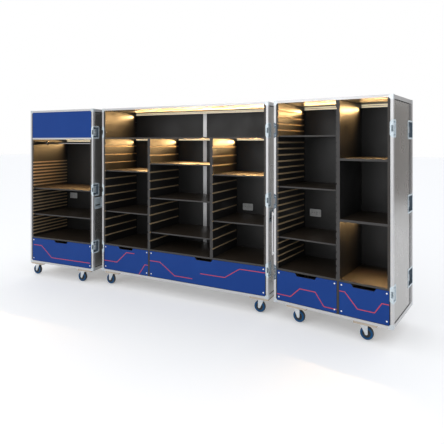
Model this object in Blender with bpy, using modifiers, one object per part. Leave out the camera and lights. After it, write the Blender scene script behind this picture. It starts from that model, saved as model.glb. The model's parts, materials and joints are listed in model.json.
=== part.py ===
"""A wardrobe flight case: three rolling sections that stand side by side when open.

The centre section is as wide as the two wings together. To close the case, each wing is rolled round
until its open front meets the centre's open front. All lengths are in metres, with +Z up.
Every section is modelled in its own frame: x runs across its width from its left side, y runs from
its open front to its back, and z is 0 at its underside.
"""

import math

import bmesh
import bpy
from mathutils import Matrix, Vector

# Driving dimensions of the three sections
CASE_H = 1.650
CASE_D = 0.595
LEFT_W = 0.865
RIGHT_W = 0.946
SEAM = 0.001
CENTRE_W = LEFT_W + RIGHT_W + SEAM
GAP = 0.0003

# Where the open wings stand beside the centre section
LEFT_WING_GAP = 0.057
LEFT_WING_FORWARD = 0.068
LEFT_WING_TURN = math.radians(3.0)
RIGHT_WING_GAP = 0.057
RIGHT_WING_FORWARD = 0.021
RIGHT_WING_TURN = math.radians(-8.3)

# Aluminium edging
EDGE_T = 0.002
EDGE_W = 0.030
STILE_W = 0.026
RAIL_W = 0.020
SKIN = EDGE_T + GAP

# Plywood
SHELL_T = 0.0177
SIDE_T = 0.0242
LINER_T = 0.0135
BACK_T = 0.012
OUTER_BACK_T = 0.012
LID_D = 0.070
LID_T = 0.012
LID_RIM_T = 0.024
FASCIA_T = 0.015
BOARD_STEP = 0.0004
DIVIDER_T = 0.030
STUB_T = 0.016
DECK_T = 0.015
SHELF_BOARD_T = 0.013
BAY_FRONT = SKIN

# Heights inside the sections
DRAWER_BAY_H = 0.247
TOP_BAY_H = 0.274
LEFT_HEAD_H = 0.292

# Columns
CENTRE_LEFT_COLUMN_W = 0.531
CENTRE_RIGHT_COLUMN_W = 0.487
RIGHT_LEFT_COLUMN_W = 0.489

# Shelf grooves and the loose shelves that slide in them
SHELF_T = 0.012
SHELF_PLAY = 0.0015
GROOVE_H = SHELF_T + SHELF_PLAY
GROOVE_DEPTH = 0.006
SHELF_SETBACK = 0.018
SHELF_SIDE_GAP = 0.0006
LEFT_GROOVES = 23
LEFT_GROOVE_TOP_GAP = 0.249
LEFT_GROOVE_LOW_GAP = 0.032
CENTRE_GROOVES = 12
CENTRE_GROOVE_TOP_GAP = 0.076
CENTRE_GROOVE_LOW_GAP = 0.078
RIGHT_GROOVES = 25
RIGHT_GROOVE_TOP_GAP = 0.062
RIGHT_GROOVE_LOW_GAP = 0.045
LEFT_SHELVES = (8, 16)
CENTRE_LEFT_SHELVES = (3, 8)
CENTRE_MIDDLE_SHELVES = (2, 6, 10)
CENTRE_RIGHT_SHELVES = (3, 8)
RIGHT_SHELVES = (4, 12, 20)
FIXED_SHELF_T = 0.018
FIXED_SHELF_LOW_GAP = 0.435
FIXED_SHELF_SPACING = 0.457

# Garment rail
RAIL_R = 0.0125
RAIL_FLANGE_R = 0.024
RAIL_FLANGE_T = 0.006
RAIL_DROP = 0.040
RAIL_FROM_FRONT = 0.200

# Drawers
DRAWER_GAP = 0.002
DRAWER_FRONT_T = 0.015
DRAWER_WALL_T = 0.012
DRAWER_BOTTOM_T = 0.009
DRAWER_TRAY_LIFT = 0.006
DRAWER_BACK_ROOM = 0.030
RUNNER_T = 0.0124
RUNNER_H = 0.045
RUNNER_LIFT = 0.070
RUNNER_BACK_ROOM = 0.040
RUNNER_FRONT_GAP = 0.008
NOTCH_W = 0.184
NOTCH_SLOPE = 0.012
NOTCH_H = 0.023
NOTCH_R = 0.006
NOTCH_ARC_STEPS = 2

# Latches: a pressed dish let into the edge, with a key that turns on its floor
DISH_DEPTH = 0.018
DISH_H = 0.104
LATCH_DISH_D = 0.080
KEEPER_DISH_D = 0.060
LATCH_TOP_DROP = 0.240
LATCH_LOW_Z = 0.2425
LID_DISH_H = 0.122
LID_DISH_BEFORE_SEAM = 0.074
LID_DISH_BEHIND_SEAM = 0.060
LID_KEY_FROM_SEAM = 0.034
KEY_HUB_R = 0.012
KEY_HUB_H = 0.010
KEY_WING_L = 0.052
KEY_WING_W = 0.018
KEY_WING_T = 0.004
KEY_SIDES = 12
KEY_ARC_STEPS = 4

# Recessed handles: a bail that hangs in a pressed dish and swings out to be held
HANDLE_DISH_W = 0.106
HANDLE_DISH_H = 0.092
HANDLE_FROM_FRONT = 0.084
HANDLE_Z = 0.685
BAIL_R = 0.004
BAIL_DROP = 0.058
BAIL_AXIS_DROP = 0.012
BAIL_ARM_INSET = 0.010
BAIL_BEND = 0.010
BAIL_FLOOR_GAP = 0.0015

# Outlet cut-outs in the inner backs
OUTLET_W = 0.095
OUTLET_H = 0.052
OUTLET_Z = 0.676
LEFT_OUTLET_X = 0.137
CENTRE_OUTLET_FROM_RIGHT = 0.410
RIGHT_OUTLET_X = 0.145

# Castor boards and castors
BOARD_T = 0.018
BOARD_W = 0.170
BOARD_SETBACK = 0.004
WHEEL_D = 0.100
WHEEL_W = 0.034
WHEEL_SIDE_GAP = 0.002
WHEEL_TO_PLATE = 0.028
CASTOR_H = WHEEL_D + WHEEL_TO_PLATE
CASTOR_FROM_EDGE = 0.075
PLATE_W = 0.085
PLATE_L = 0.105
PLATE_T = 0.003
CROWN_R = 0.030
CROWN_T = 0.010
YOKE_T = 0.003
TRAIL = 0.038
LEG_GAP = WHEEL_W + 2 * WHEEL_SIDE_GAP
LEG_T = 0.003
LEG_END_R = 0.012
LEG_END_STEPS = 4
LEG_TOP_FRONT = 0.049
LEG_TOP_BACK = 0.008
FIXED_LEG_TOP = 0.033
AXLE_R = 0.004
AXLE_PROUD = 0.004
TREAD_EDGE = 0.006
BORE_CLEARANCE = 0.0005
WHEEL_STEPS = 24
ROUND_SIDES = 16
AXLE_SIDES = 8
LEFT_CASTORS = ((0.068, 0.022), (LEFT_W - 0.162, 0.040))
CENTRE_CASTORS = ((0.094, 0.031), (CENTRE_W - 0.066, -0.022))
RIGHT_CASTORS = ((0.155, 0.042), (RIGHT_W - 0.245, 0.042))
CASTOR_HEADINGS = {"left": math.radians(-90.0), "centre": math.radians(-90.0), "right": math.radians(90.0)}

# Places worked out from the driving dimensions
SIDE_IN = SKIN + SIDE_T
LINER_IN = SIDE_IN + LINER_T
FLOOR_Z = SKIN + SHELL_T
ROOF_Z = CASE_H - FLOOR_Z
DECK_LOW = FLOOR_Z + DRAWER_BAY_H
DECK_TOP = DECK_LOW + DECK_T
TOP_SHELF_TOP = ROOF_Z - TOP_BAY_H
TOP_SHELF_LOW = TOP_SHELF_TOP - SHELF_BOARD_T
HEAD_TOP = ROOF_Z - LEFT_HEAD_H + SHELL_T
HEAD_LOW = HEAD_TOP - SHELL_T
BODY_D = CASE_D - LID_D
BACK_IN = BODY_D - SKIN - BACK_T
LID_FRONT = BODY_D + GAP
CASE_Z = BOARD_T + CASTOR_H
WHEEL_R = WHEEL_D / 2
WHEEL_STEP = 2 * math.pi / WHEEL_STEPS
AXLE_Z = WHEEL_R * math.cos(WHEEL_STEP / 2) - CASE_Z
PLATE_LOW = -BOARD_T - PLATE_T
LATCH_ZS = (LATCH_LOW_Z, (LATCH_LOW_Z + CASE_H - LATCH_TOP_DROP) / 2, CASE_H - LATCH_TOP_DROP)

# Colours
BLACK_PLY = (0.018, 0.018, 0.019)
BLUE = (0.012, 0.055, 0.27)
ALUMINIUM = (0.78, 0.79, 0.80)
ZINC = (0.62, 0.63, 0.62)
WHEEL_BLUE = (0.015, 0.10, 0.30)

PARTS = "wardrobe_flight_case"
CUTTERS = "cutters"
WELD = 0.00001

# How a flat outline's two axes and its thickness lie in the model
PLANES = {
    "XY": Matrix(((1, 0, 0, 0), (0, 1, 0, 0), (0, 0, 1, 0), (0, 0, 0, 1))),
    "XZ": Matrix(((1, 0, 0, 0), (0, 0, -1, 0), (0, 1, 0, 0), (0, 0, 0, 1))),
    "YZ": Matrix(((0, 0, 1, 0), (1, 0, 0, 0), (0, 1, 0, 0), (0, 0, 0, 1))),
}


def clear_scene():
    for obj in list(bpy.data.objects):
        bpy.data.objects.remove(obj, do_unlink=True)


def collection(name):
    made = bpy.data.collections.new(name)
    bpy.context.scene.collection.children.link(made)
    return made


def material(name, colour, roughness, metallic):
    made = bpy.data.materials.new(name)
    made.use_nodes = True
    shader = made.node_tree.nodes["Principled BSDF"]
    shader.inputs["Base Color"].default_value = (*colour, 1.0)
    shader.inputs["Roughness"].default_value = roughness
    shader.inputs["Metallic"].default_value = metallic
    return made


def empty(name, parent, location=(0, 0, 0), turn=0.0):
    made = bpy.data.objects.new(name, None)
    bpy.data.collections[PARTS].objects.link(made)
    made.parent = parent
    made.location = location
    made.rotation_euler = (0, 0, turn)
    return made


def solid(name, mesh, parent, location=(0, 0, 0), turn=0.0):
    made = bpy.data.objects.new(name, mesh)
    bpy.data.collections[PARTS].objects.link(made)
    made.parent = parent
    made.location = location
    made.rotation_euler = (0, 0, turn)
    return made


def finish(obj, colour, roughness, metallic):
    """Gives a node its own material."""
    obj.data.materials.clear()
    obj.data.materials.append(material(obj.name, colour, roughness, metallic))
    return obj


def as_cutter(obj):
    """Moves a guide out of the model: it only cuts or joins another solid."""
    bpy.data.collections[PARTS].objects.unlink(obj)
    bpy.data.collections[CUTTERS].objects.link(obj)
    obj.hide_render = True
    obj.display_type = "WIRE"


def combine(target, tool, operation):
    as_cutter(tool)
    modifier = target.modifiers.new(tool.name, "BOOLEAN")
    modifier.operation = operation
    modifier.solver = "EXACT"
    modifier.object = tool
    return target


def cut(target, tool):
    return combine(target, tool, "DIFFERENCE")


def join(target, tool):
    return combine(target, tool, "UNION")


def boxes(name, corners, parent):
    """One object holding a block for each pair of low and high corners."""
    bm = bmesh.new()
    for low, high in corners:
        low, high = Vector(low), Vector(high)
        place = Matrix.LocRotScale((low + high) / 2, None, high - low)
        bmesh.ops.create_cube(bm, size=1.0, matrix=place)
    mesh = bpy.data.meshes.new(name)
    bm.to_mesh(mesh)
    bm.free()
    return solid(name, mesh, parent)


def cylinder(name, radius, low, high, parent, axis="Z", sides=ROUND_SIDES, centre=(0, 0, 0)):
    """A cylinder between two places along the Z or the X axis, moved to a centre."""
    bm = bmesh.new()
    bmesh.ops.create_cone(
        bm, cap_ends=True, segments=sides, radius1=radius, radius2=radius, depth=high - low
    )
    bmesh.ops.translate(bm, verts=bm.verts, vec=(0, 0, (low + high) / 2))
    if axis == "X":
        bmesh.ops.rotate(bm, verts=bm.verts, matrix=Matrix.Rotation(math.pi / 2, 3, "Y"))
    bmesh.ops.translate(bm, verts=bm.verts, vec=centre)
    mesh = bpy.data.meshes.new(name)
    bm.to_mesh(mesh)
    bm.free()
    return solid(name, mesh, parent)


def extruded(name, outline, low, high, parent, plane="XZ"):
    """A flat outline drawn out between two places along the axis square to its plane.

    The curve's own fill leaves slivers where many corners lie in line, so each end is closed by one face.
    """
    curve = bpy.data.curves.new(name, "CURVE")
    curve.dimensions = "2D"
    curve.fill_mode = "NONE"
    curve.extrude = (high - low) / 2
    spline = curve.splines.new("POLY")
    spline.points.add(len(outline) - 1)
    for point, (across, up) in zip(spline.points, outline):
        point.co = (across, up, 0, 1)
    spline.use_cyclic_u = True
    guide = bpy.data.objects.new(name, curve)
    bpy.data.collections[PARTS].objects.link(guide)
    middle = (low + high) / 2
    along = {"XY": (0, 0, middle), "XZ": (0, middle, 0), "YZ": (middle, 0, 0)}
    guide.matrix_world = Matrix.Translation(along[plane]) @ PLANES[plane]
    bpy.context.view_layer.update()
    mesh = bpy.data.meshes.new_from_object(guide.evaluated_get(bpy.context.evaluated_depsgraph_get()))
    mesh.transform(guide.matrix_world)
    bm = bmesh.new()
    bm.from_mesh(mesh)
    bmesh.ops.remove_doubles(bm, verts=bm.verts, dist=WELD)
    ends = [edge for edge in bm.edges if edge.is_boundary]
    bmesh.ops.holes_fill(bm, edges=ends, sides=0)
    bmesh.ops.recalc_face_normals(bm, faces=bm.faces)
    bm.to_mesh(mesh)
    bm.free()
    bpy.data.objects.remove(guide, do_unlink=True)
    return solid(name, mesh, parent)


def applied(obj):
    """The object's mesh with its modifiers applied, in its own space."""
    bpy.context.view_layer.update()
    mesh = bpy.data.meshes.new_from_object(obj.evaluated_get(bpy.context.evaluated_depsgraph_get()))
    obj.modifiers.clear()
    obj.data = mesh
    return obj


def groove_heights(count, low, high):
    """The centre heights of evenly spaced grooves, from the top one down."""
    pitch = (high - low) / (count - 1)
    return [high - pitch * step for step in range(count)]


def wall_line(x, low, high, grooves=(), outward=0):
    """Points up a wall's face at x, with a groove cut outward (-1 left, +1 right) at each height."""
    points = [(x, low)]
    for centre in sorted(grooves):
        deep = x + outward * GROOVE_DEPTH
        points += [(x, centre - GROOVE_H / 2), (deep, centre - GROOVE_H / 2)]
        points += [(deep, centre + GROOVE_H / 2), (x, centre + GROOVE_H / 2)]
    points.append((x, high))
    return points


def bay(left, right, low, high, left_grooves=(), right_grooves=(), outward=1):
    """The outline of a bay between grooved walls, or with outward -1 that of a grooved board."""
    up = wall_line(left, low, high, left_grooves, -outward)
    down = wall_line(right, low, high, right_grooves, outward)
    return up + down[::-1]


def rectangle(left, right, low, high):
    return [(left, low), (right, low), (right, high), (left, high)]


def shelf_grooves():
    """Groove heights of each section, from the top down."""
    left = groove_heights(
        LEFT_GROOVES, DECK_TOP + LEFT_GROOVE_LOW_GAP, HEAD_LOW - LEFT_GROOVE_TOP_GAP
    )
    centre = groove_heights(
        CENTRE_GROOVES, DECK_TOP + CENTRE_GROOVE_LOW_GAP, TOP_SHELF_LOW - CENTRE_GROOVE_TOP_GAP
    )
    right = groove_heights(
        RIGHT_GROOVES, DECK_TOP + RIGHT_GROOVE_LOW_GAP, ROOF_Z - RIGHT_GROOVE_TOP_GAP
    )
    return {"left": left, "centre": centre, "right": right}


GROOVES = shelf_grooves()
WIDTHS = {"left": LEFT_W, "centre": CENTRE_W, "right": RIGHT_W}
CASTORS = {"left": LEFT_CASTORS, "centre": CENTRE_CASTORS, "right": RIGHT_CASTORS}
OUTLET_XS = {
    "left": LEFT_OUTLET_X,
    "centre": CENTRE_W - CENTRE_OUTLET_FROM_RIGHT,
    "right": RIGHT_OUTLET_X,
}
CENTRE_DIVIDERS = (
    LINER_IN + CENTRE_LEFT_COLUMN_W,
    CENTRE_W - LINER_IN - CENTRE_RIGHT_COLUMN_W - DIVIDER_T,
)
RIGHT_DIVIDER = LINER_IN + RIGHT_LEFT_COLUMN_W


def stub_left(divider):
    """The left face of the thin partition between two drawers, under the middle of a divider."""
    return divider + (DIVIDER_T - STUB_T) / 2


def body_depth(section):
    """How deep a section's body is. Only the right one has a back lid that comes off."""
    return BODY_D if section == "right" else CASE_D


def dish_boxes(section):
    """The pockets that the latch, keeper and handle dishes of a section sit in, as corners of blocks."""
    width = WIDTHS[section]
    out = SKIN
    found = []
    if section != "right":
        near = HANDLE_FROM_FRONT - HANDLE_DISH_W / 2
        far = HANDLE_FROM_FRONT + HANDLE_DISH_W / 2
        low, high = HANDLE_Z - HANDLE_DISH_H / 2, HANDLE_Z + HANDLE_DISH_H / 2
        found.append(((width - DISH_DEPTH, near, low), (width + out, far, high)))
    for z in LATCH_ZS:
        low, high = z - DISH_H / 2, z + DISH_H / 2
        left_d = LATCH_DISH_D if section == "right" else KEEPER_DISH_D
        right_d = LATCH_DISH_D if section == "left" else KEEPER_DISH_D
        if section != "left":
            found.append(((-out, -out, low), (DISH_DEPTH, left_d, high)))
        if section != "right" or z != LATCH_ZS[1]:
            found.append(((width - DISH_DEPTH, -out, low), (width + out, right_d, high)))
        low, high = z - LID_DISH_H / 2, z + LID_DISH_H / 2
        if section == "right":
            near, far = BODY_D - LID_DISH_BEFORE_SEAM, BODY_D + LID_DISH_BEHIND_SEAM
            found.append(((width - DISH_DEPTH, near, low), (width + out, far, high)))
    return found


def drawer_spans(section):
    """The left and right ends of each drawer front in a section."""
    if section == "left":
        return [(SIDE_IN, LEFT_W - SIDE_IN)]
    if section == "centre":
        stub = stub_left(CENTRE_DIVIDERS[0])
        return [(SIDE_IN, stub), (stub + STUB_T, CENTRE_W - SIDE_IN)]
    stub = stub_left(RIGHT_DIVIDER)
    return [(SIDE_IN, stub), (stub + STUB_T, RIGHT_W - SIDE_IN)]


def runner_box(face, outward):
    """A drawer runner on a bay wall; outward is +1 where the runner stands out towards +x."""
    low = min(face, face + outward * RUNNER_T)
    high = max(face, face + outward * RUNNER_T)
    embed = DRAWER_WALL_T / 2
    if outward > 0:
        low -= embed
    else:
        high += embed
    bottom = FLOOR_Z + RUNNER_LIFT
    front = SKIN + DRAWER_FRONT_T + RUNNER_FRONT_GAP
    return (low, front, bottom), (high, BACK_IN - RUNNER_BACK_ROOM, bottom + RUNNER_H)


def bay_outlines(section):
    """Each bay that is hollowed out of a section from its front, as a named outline."""
    width = WIDTHS[section]
    right_face = width - LINER_IN
    grooves = GROOVES[section]
    if section == "left":
        return {
            "left_bay": bay(LINER_IN, right_face, DECK_TOP, HEAD_LOW, grooves, grooves),
            "left_drawer_bay": rectangle(SIDE_IN, width - SIDE_IN, FLOOR_Z, DECK_LOW),
        }
    right_grooves = grooves if section == "centre" else ()
    step = DECK_TOP + GAP
    upper = bay(LINER_IN, right_face, step, ROOF_Z, grooves, right_grooves)
    lower = [(width - SIDE_IN, step), (width - SIDE_IN, FLOOR_Z), (SIDE_IN, FLOOR_Z), (SIDE_IN, step)]
    return {section + "_bay": upper + lower}


def castor_boards(section, frame, case):
    """The two plywood boards under a section, their packing pieces and the four castor plates."""
    blocks, packers, plates = [], [], []
    for x, shift in CASTORS[section]:
        left = x + shift - BOARD_W / 2
        right = left + BOARD_W
        blocks.append(((left, BOARD_SETBACK, -BOARD_T), (right, CASE_D - BOARD_SETBACK, -GAP)))
        packer_left = max(left, EDGE_W) + EDGE_T
        packer_right = min(right, WIDTHS[section] - EDGE_W) - EDGE_T
        packers.append(
            (
                (packer_left, EDGE_W + EDGE_T, -BOARD_T / 2),
                (packer_right, body_depth(section) - EDGE_W - EDGE_T, FLOOR_Z - SHELL_T / 2),
            )
        )
        for y in (CASTOR_FROM_EDGE, CASE_D - CASTOR_FROM_EDGE):
            plates.append(
                (
                    (x - PLATE_W / 2, y - PLATE_L / 2, PLATE_LOW),
                    (x + PLATE_W / 2, y + PLATE_L / 2, -BOARD_T / 2),
                )
            )
    join(case, boxes(section + "_castor_boards", blocks, frame))
    join(case, boxes(section + "_board_packers", packers, frame))
    join(case, boxes(section + "_castor_plates", plates, frame))


def build_case(section, frame):
    """A section's plywood shell: grooved walls, roof, floor, inner back and castor boards."""
    width = WIDTHS[section]
    back = body_depth(section) - SKIN
    case = boxes(
        section + "_case", [((SKIN, SKIN, SKIN), (width - SKIN, back, CASE_H - SKIN))], frame
    )
    for name, outline in bay_outlines(section).items():
        cut(case, extruded(name, outline, -EDGE_W, BACK_IN, frame))
    wiring_front = BACK_IN + BACK_T
    if section != "right":
        low = (SIDE_IN, wiring_front, FLOOR_Z)
        high = (width - SIDE_IN, back - OUTER_BACK_T, ROOF_Z)
        cut(case, boxes(section + "_wiring_space", [(low, high)], frame))
    if section == "left":
        low = (SIDE_IN + BOARD_STEP, SKIN + FASCIA_T, HEAD_TOP)
        high = (width - SIDE_IN - BOARD_STEP, wiring_front + SKIN, ROOF_Z - BOARD_STEP)
        cut(case, boxes("left_head_room", [(low, high)], frame))
    x = OUTLET_XS[section]
    low = (x - OUTLET_W / 2, BACK_IN - SKIN, OUTLET_Z - OUTLET_H / 2)
    high = (x + OUTLET_W / 2, wiring_front + 2 * SKIN, OUTLET_Z + OUTLET_H / 2)
    cut(case, boxes(section + "_outlet_cutout", [(low, high)], frame))
    spans = drawer_spans(section)
    runners = [runner_box(spans[0][0], 1), runner_box(spans[-1][1], -1)]
    join(case, boxes(section + "_runners", runners, frame))
    castor_boards(section, frame, case)
    cut(case, boxes(section + "_case_dishes", dish_boxes(section), frame))
    return finish(case, BLACK_PLY, 0.45, 0.0)


def build_edging(section, frame):
    """The aluminium edging of a section's body: an angle along each of its twelve edges, as one frame."""
    width = WIDTHS[section]
    depth = body_depth(section)
    edging = boxes(section + "_edging", [((0, 0, 0), (width, depth, CASE_H))], frame)
    inner = ((EDGE_T, EDGE_T, EDGE_T), (width - EDGE_T, depth - EDGE_T, CASE_H - EDGE_T))
    front = ((STILE_W, -EDGE_W, RAIL_W), (width - STILE_W, depth + EDGE_W, CASE_H - RAIL_W))
    sides = ((-EDGE_W, EDGE_W, EDGE_W), (width + EDGE_W, depth - EDGE_W, CASE_H - EDGE_W))
    ends = ((EDGE_W, EDGE_W, -EDGE_W), (width - EDGE_W, depth - EDGE_W, CASE_H + EDGE_W))
    for name, block in (("inside", inner), ("front", front), ("sides", sides), ("ends", ends)):
        cut(edging, boxes(section + "_edging_" + name, [block], frame))
    cut(edging, boxes(section + "_edging_dishes", dish_boxes(section), frame))
    return finish(edging, ALUMINIUM, 0.3, 1.0)


def build_lid(frame):
    """The right section's back lid: a shallow tray that closes the wiring space behind its inner back."""
    lid = boxes("right_back_lid", [((0, LID_FRONT, 0), (RIGHT_W, CASE_D, CASE_H))], frame)
    low = (LID_RIM_T, LID_FRONT - EDGE_W, LID_RIM_T)
    high = (RIGHT_W - LID_RIM_T, CASE_D - LID_T, CASE_H - LID_RIM_T)
    cut(lid, boxes("right_lid_hollow", [(low, high)], frame))
    cut(lid, boxes("right_lid_dishes", dish_boxes("right"), frame))
    return finish(lid, BLACK_PLY, 0.45, 0.0)


def divider_solid(name, left, low, high, left_grooves, right_grooves, frame):
    """An upright divider, grooved on the sides that carry loose shelves."""
    outline = bay(left, left + DIVIDER_T, low, high, left_grooves, right_grooves, -1)
    return extruded(name, outline, BAY_FRONT + BOARD_STEP, BACK_IN - GAP - BOARD_STEP, frame)


def build_dividers(section, frame):
    """The deck over the drawers with the uprights and fixed shelves that stand on it, as one piece."""
    width = WIDTHS[section]
    back = BACK_IN - GAP
    deck = ((SIDE_IN + GAP, BAY_FRONT, DECK_LOW), (width - SIDE_IN - GAP, back, DECK_TOP))
    overlap = DECK_T / 2
    body = boxes(section + "_dividers", [deck], frame)
    grooves = GROOVES[section]
    if section == "centre":
        stub_x = stub_left(CENTRE_DIVIDERS[0])
        shelf = ((LINER_IN + GAP, BAY_FRONT, TOP_SHELF_LOW), (width - LINER_IN - GAP, back, TOP_SHELF_TOP))
        join(body, boxes("centre_top_shelf", [shelf], frame))
        top = TOP_SHELF_LOW + SHELF_BOARD_T / 2
        for number, left in enumerate(CENTRE_DIVIDERS, 1):
            name = "centre_upright_" + str(number)
            join(body, divider_solid(name, left, DECK_TOP - overlap, top, grooves, grooves, frame))
    else:
        stub_x = stub_left(RIGHT_DIVIDER)
        top = ROOF_Z - GAP
        upright = divider_solid(
            "right_upright", RIGHT_DIVIDER, DECK_TOP - overlap, top, grooves, (), frame
        )
        join(body, upright)
        fixed = []
        for step in range(2):
            low = DECK_TOP + FIXED_SHELF_LOW_GAP + step * FIXED_SHELF_SPACING
            left = RIGHT_DIVIDER + DIVIDER_T / 2
            fixed.append(((left, BAY_FRONT, low), (width - LINER_IN - GAP, back, low + FIXED_SHELF_T)))
        join(body, boxes("right_fixed_shelves", fixed, frame))
    stub = ((stub_x, BAY_FRONT, FLOOR_Z + GAP), (stub_x + STUB_T, back, DECK_LOW + overlap))
    join(body, boxes(section + "_drawer_partition", [stub], frame))
    runners = [runner_box(stub_x, -1), runner_box(stub_x + STUB_T, 1)]
    join(body, boxes(section + "_partition_runners", runners, frame))
    return finish(body, BLACK_PLY, 0.45, 0.0)


def notch_outline(left, right, low, high):
    """A drawer front with a finger notch in the middle of its top edge."""
    middle = (left + right) / 2
    top_half = NOTCH_W / 2
    low_half = top_half - NOTCH_SLOPE
    points = [(left, low), (right, low), (right, high), (middle + top_half, high)]
    arc = []
    for step in range(NOTCH_ARC_STEPS + 1):
        angle = math.pi / 2 * step / NOTCH_ARC_STEPS
        arc.append((low_half - NOTCH_R * (1 - math.cos(angle)), -NOTCH_R * math.sin(angle)))
    floor = high - NOTCH_H + NOTCH_R
    points += [(middle + across, floor + drop) for across, drop in arc]
    points += [(middle - across, floor + drop) for across, drop in reversed(arc)]
    points += [(middle - top_half, high), (left, high)]
    return points


def build_drawer(name, span, frame):
    """A drawer: a front panel with its finger notch, and an open tray behind it."""
    left, right = span
    low = FLOOR_Z + DRAWER_GAP
    high = DECK_LOW - DRAWER_GAP
    front = SKIN
    origin = Vector((left, front, low))
    outline = notch_outline(left + DRAWER_GAP, right - DRAWER_GAP, low, high)
    drawer = extruded(name, outline, front, front + DRAWER_FRONT_T, frame)
    inset = RUNNER_T + GAP
    tray_low = low + DRAWER_TRAY_LIFT
    tray_high = high - NOTCH_H - DRAWER_GAP
    tray_back = BACK_IN - DRAWER_BACK_ROOM
    wall = DRAWER_WALL_T
    tray = boxes(
        name + "_tray",
        [((left + inset, front + DRAWER_FRONT_T / 2, tray_low), (right - inset, tray_back, tray_high))],
        frame,
    )
    inside = boxes(
        name + "_inside",
        [
            (
                (left + inset + wall, front + DRAWER_FRONT_T, tray_low + DRAWER_BOTTOM_T),
                (right - inset - wall, tray_back - wall, high + EDGE_W),
            )
        ],
        frame,
    )
    join(drawer, tray)
    cut(drawer, inside)
    applied(drawer)
    drawer.data.transform(Matrix.Translation(-origin))
    drawer.location = origin
    return finish(drawer, BLUE, 0.4, 0.0)


def build_shelf(name, left, right, groove, frame):
    """A loose shelf whose two edges lie in a pair of grooves."""
    low = groove - GROOVE_H / 2 + GAP
    reach = GROOVE_DEPTH - SHELF_SIDE_GAP
    corners = ((left - reach, SHELF_SETBACK, low), (right + reach, BACK_IN - 2 * GAP, low + SHELF_T))
    origin = Vector(corners[0])
    shelf = boxes(name, [corners], frame)
    shelf.data.transform(Matrix.Translation(-origin))
    shelf.location = origin
    return finish(shelf, BLACK_PLY, 0.45, 0.0)


def build_rail(frame):
    """The garment rail: a tube held in a round flange on each wall."""
    z = HEAD_LOW - RAIL_DROP
    left, right = LINER_IN + GAP, LEFT_W - LINER_IN - GAP
    centre = (0, RAIL_FROM_FRONT, z)
    rail = cylinder("left_garment_rail", RAIL_R, left, right, frame, "X", ROUND_SIDES, centre)
    ends = (("near", left, left + RAIL_FLANGE_T), ("far", right - RAIL_FLANGE_T, right))
    for name, low, high in ends:
        flange = cylinder("rail_flange_" + name, RAIL_FLANGE_R, low, high, frame, "X", ROUND_SIDES, centre)
        join(rail, flange)
    return finish(rail, ZINC, 0.2, 1.0)


def leg_outline(trail, top_front, top_back):
    """A fork seen from the side: wide under the crown and round at the axle."""
    axle = AXLE_Z - PLATE_LOW
    top = -GAP - CROWN_T + YOKE_T
    points = [(-top_front, top)]
    for step in range(LEG_END_STEPS + 1):
        angle = math.pi + math.pi * step / LEG_END_STEPS
        points.append((-trail + LEG_END_R * math.cos(angle), axle + LEG_END_R * math.sin(angle)))
    points.append((top_back, top))
    return points


def build_fork(name, trail, top_front, top_back, crown_top):
    """A castor's fork: a crown on a bent yoke with two legs and the axle, origin on the swivel axis."""
    axle = AXLE_Z - PLATE_LOW
    half = LEG_GAP / 2 + LEG_T
    fork = extruded(name, leg_outline(trail, top_front, top_back), -half, half, None, "YZ")
    low = (-LEG_GAP / 2, -CASTOR_H, -CASTOR_H)
    high = (LEG_GAP / 2, CASTOR_H, -GAP - CROWN_T)
    cut(fork, boxes(name + "_gap", [(low, high)], None))
    join(fork, cylinder(name + "_crown", CROWN_R, -GAP - CROWN_T, crown_top, None))
    reach = half + AXLE_PROUD
    centre = (0, -trail, axle)
    join(fork, cylinder(name + "_axle", AXLE_R, -reach, reach, None, "X", AXLE_SIDES, centre))
    return applied(fork)


def wheel_mesh():
    """The wheel: a bored disc whose tread has eased edges, turned about Z and laid on its side."""
    bore = AXLE_R + BORE_CLEARANCE
    profile = [
        (bore, WHEEL_W / 2),
        (WHEEL_R - TREAD_EDGE, WHEEL_W / 2),
        (WHEEL_R, WHEEL_W / 2 - TREAD_EDGE),
        (WHEEL_R, TREAD_EDGE - WHEEL_W / 2),
        (WHEEL_R - TREAD_EDGE, -WHEEL_W / 2),
        (bore, -WHEEL_W / 2),
    ]
    start = WHEEL_STEP / 2
    points = [(r * math.cos(start), r * math.sin(start), h) for r, h in profile]
    edges = [(step, (step + 1) % len(points)) for step in range(len(points))]
    mesh = bpy.data.meshes.new("castor_wheel")
    mesh.from_pydata(points, edges, [])
    guide = solid("wheel_profile", mesh, None)
    screw = guide.modifiers.new("turn", "SCREW")
    screw.axis = "Z"
    screw.steps = WHEEL_STEPS
    screw.render_steps = WHEEL_STEPS
    screw.use_merge_vertices = True
    screw.merge_threshold = WELD
    applied(guide)
    made = guide.data
    made.transform(Matrix.Rotation(math.pi / 2, 4, "Y"))
    made.shade_smooth()
    made.set_sharp_from_angle(angle=math.radians(30))
    bpy.data.objects.remove(guide, do_unlink=True)
    return made


def castor_places(section):
    """Each castor's name and the place of its swivel axis on the castor plate's underside."""
    rear = CASE_D - CASTOR_FROM_EDGE
    (left, _), (right, _) = CASTORS[section]
    return [
        (section + "_castor_front_left", Vector((left, CASTOR_FROM_EDGE, PLATE_LOW))),
        (section + "_castor_front_right", Vector((right, CASTOR_FROM_EDGE, PLATE_LOW))),
        (section + "_castor_rear_left", Vector((left, rear, PLATE_LOW))),
        (section + "_castor_rear_right", Vector((right, rear, PLATE_LOW))),
    ]


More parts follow.
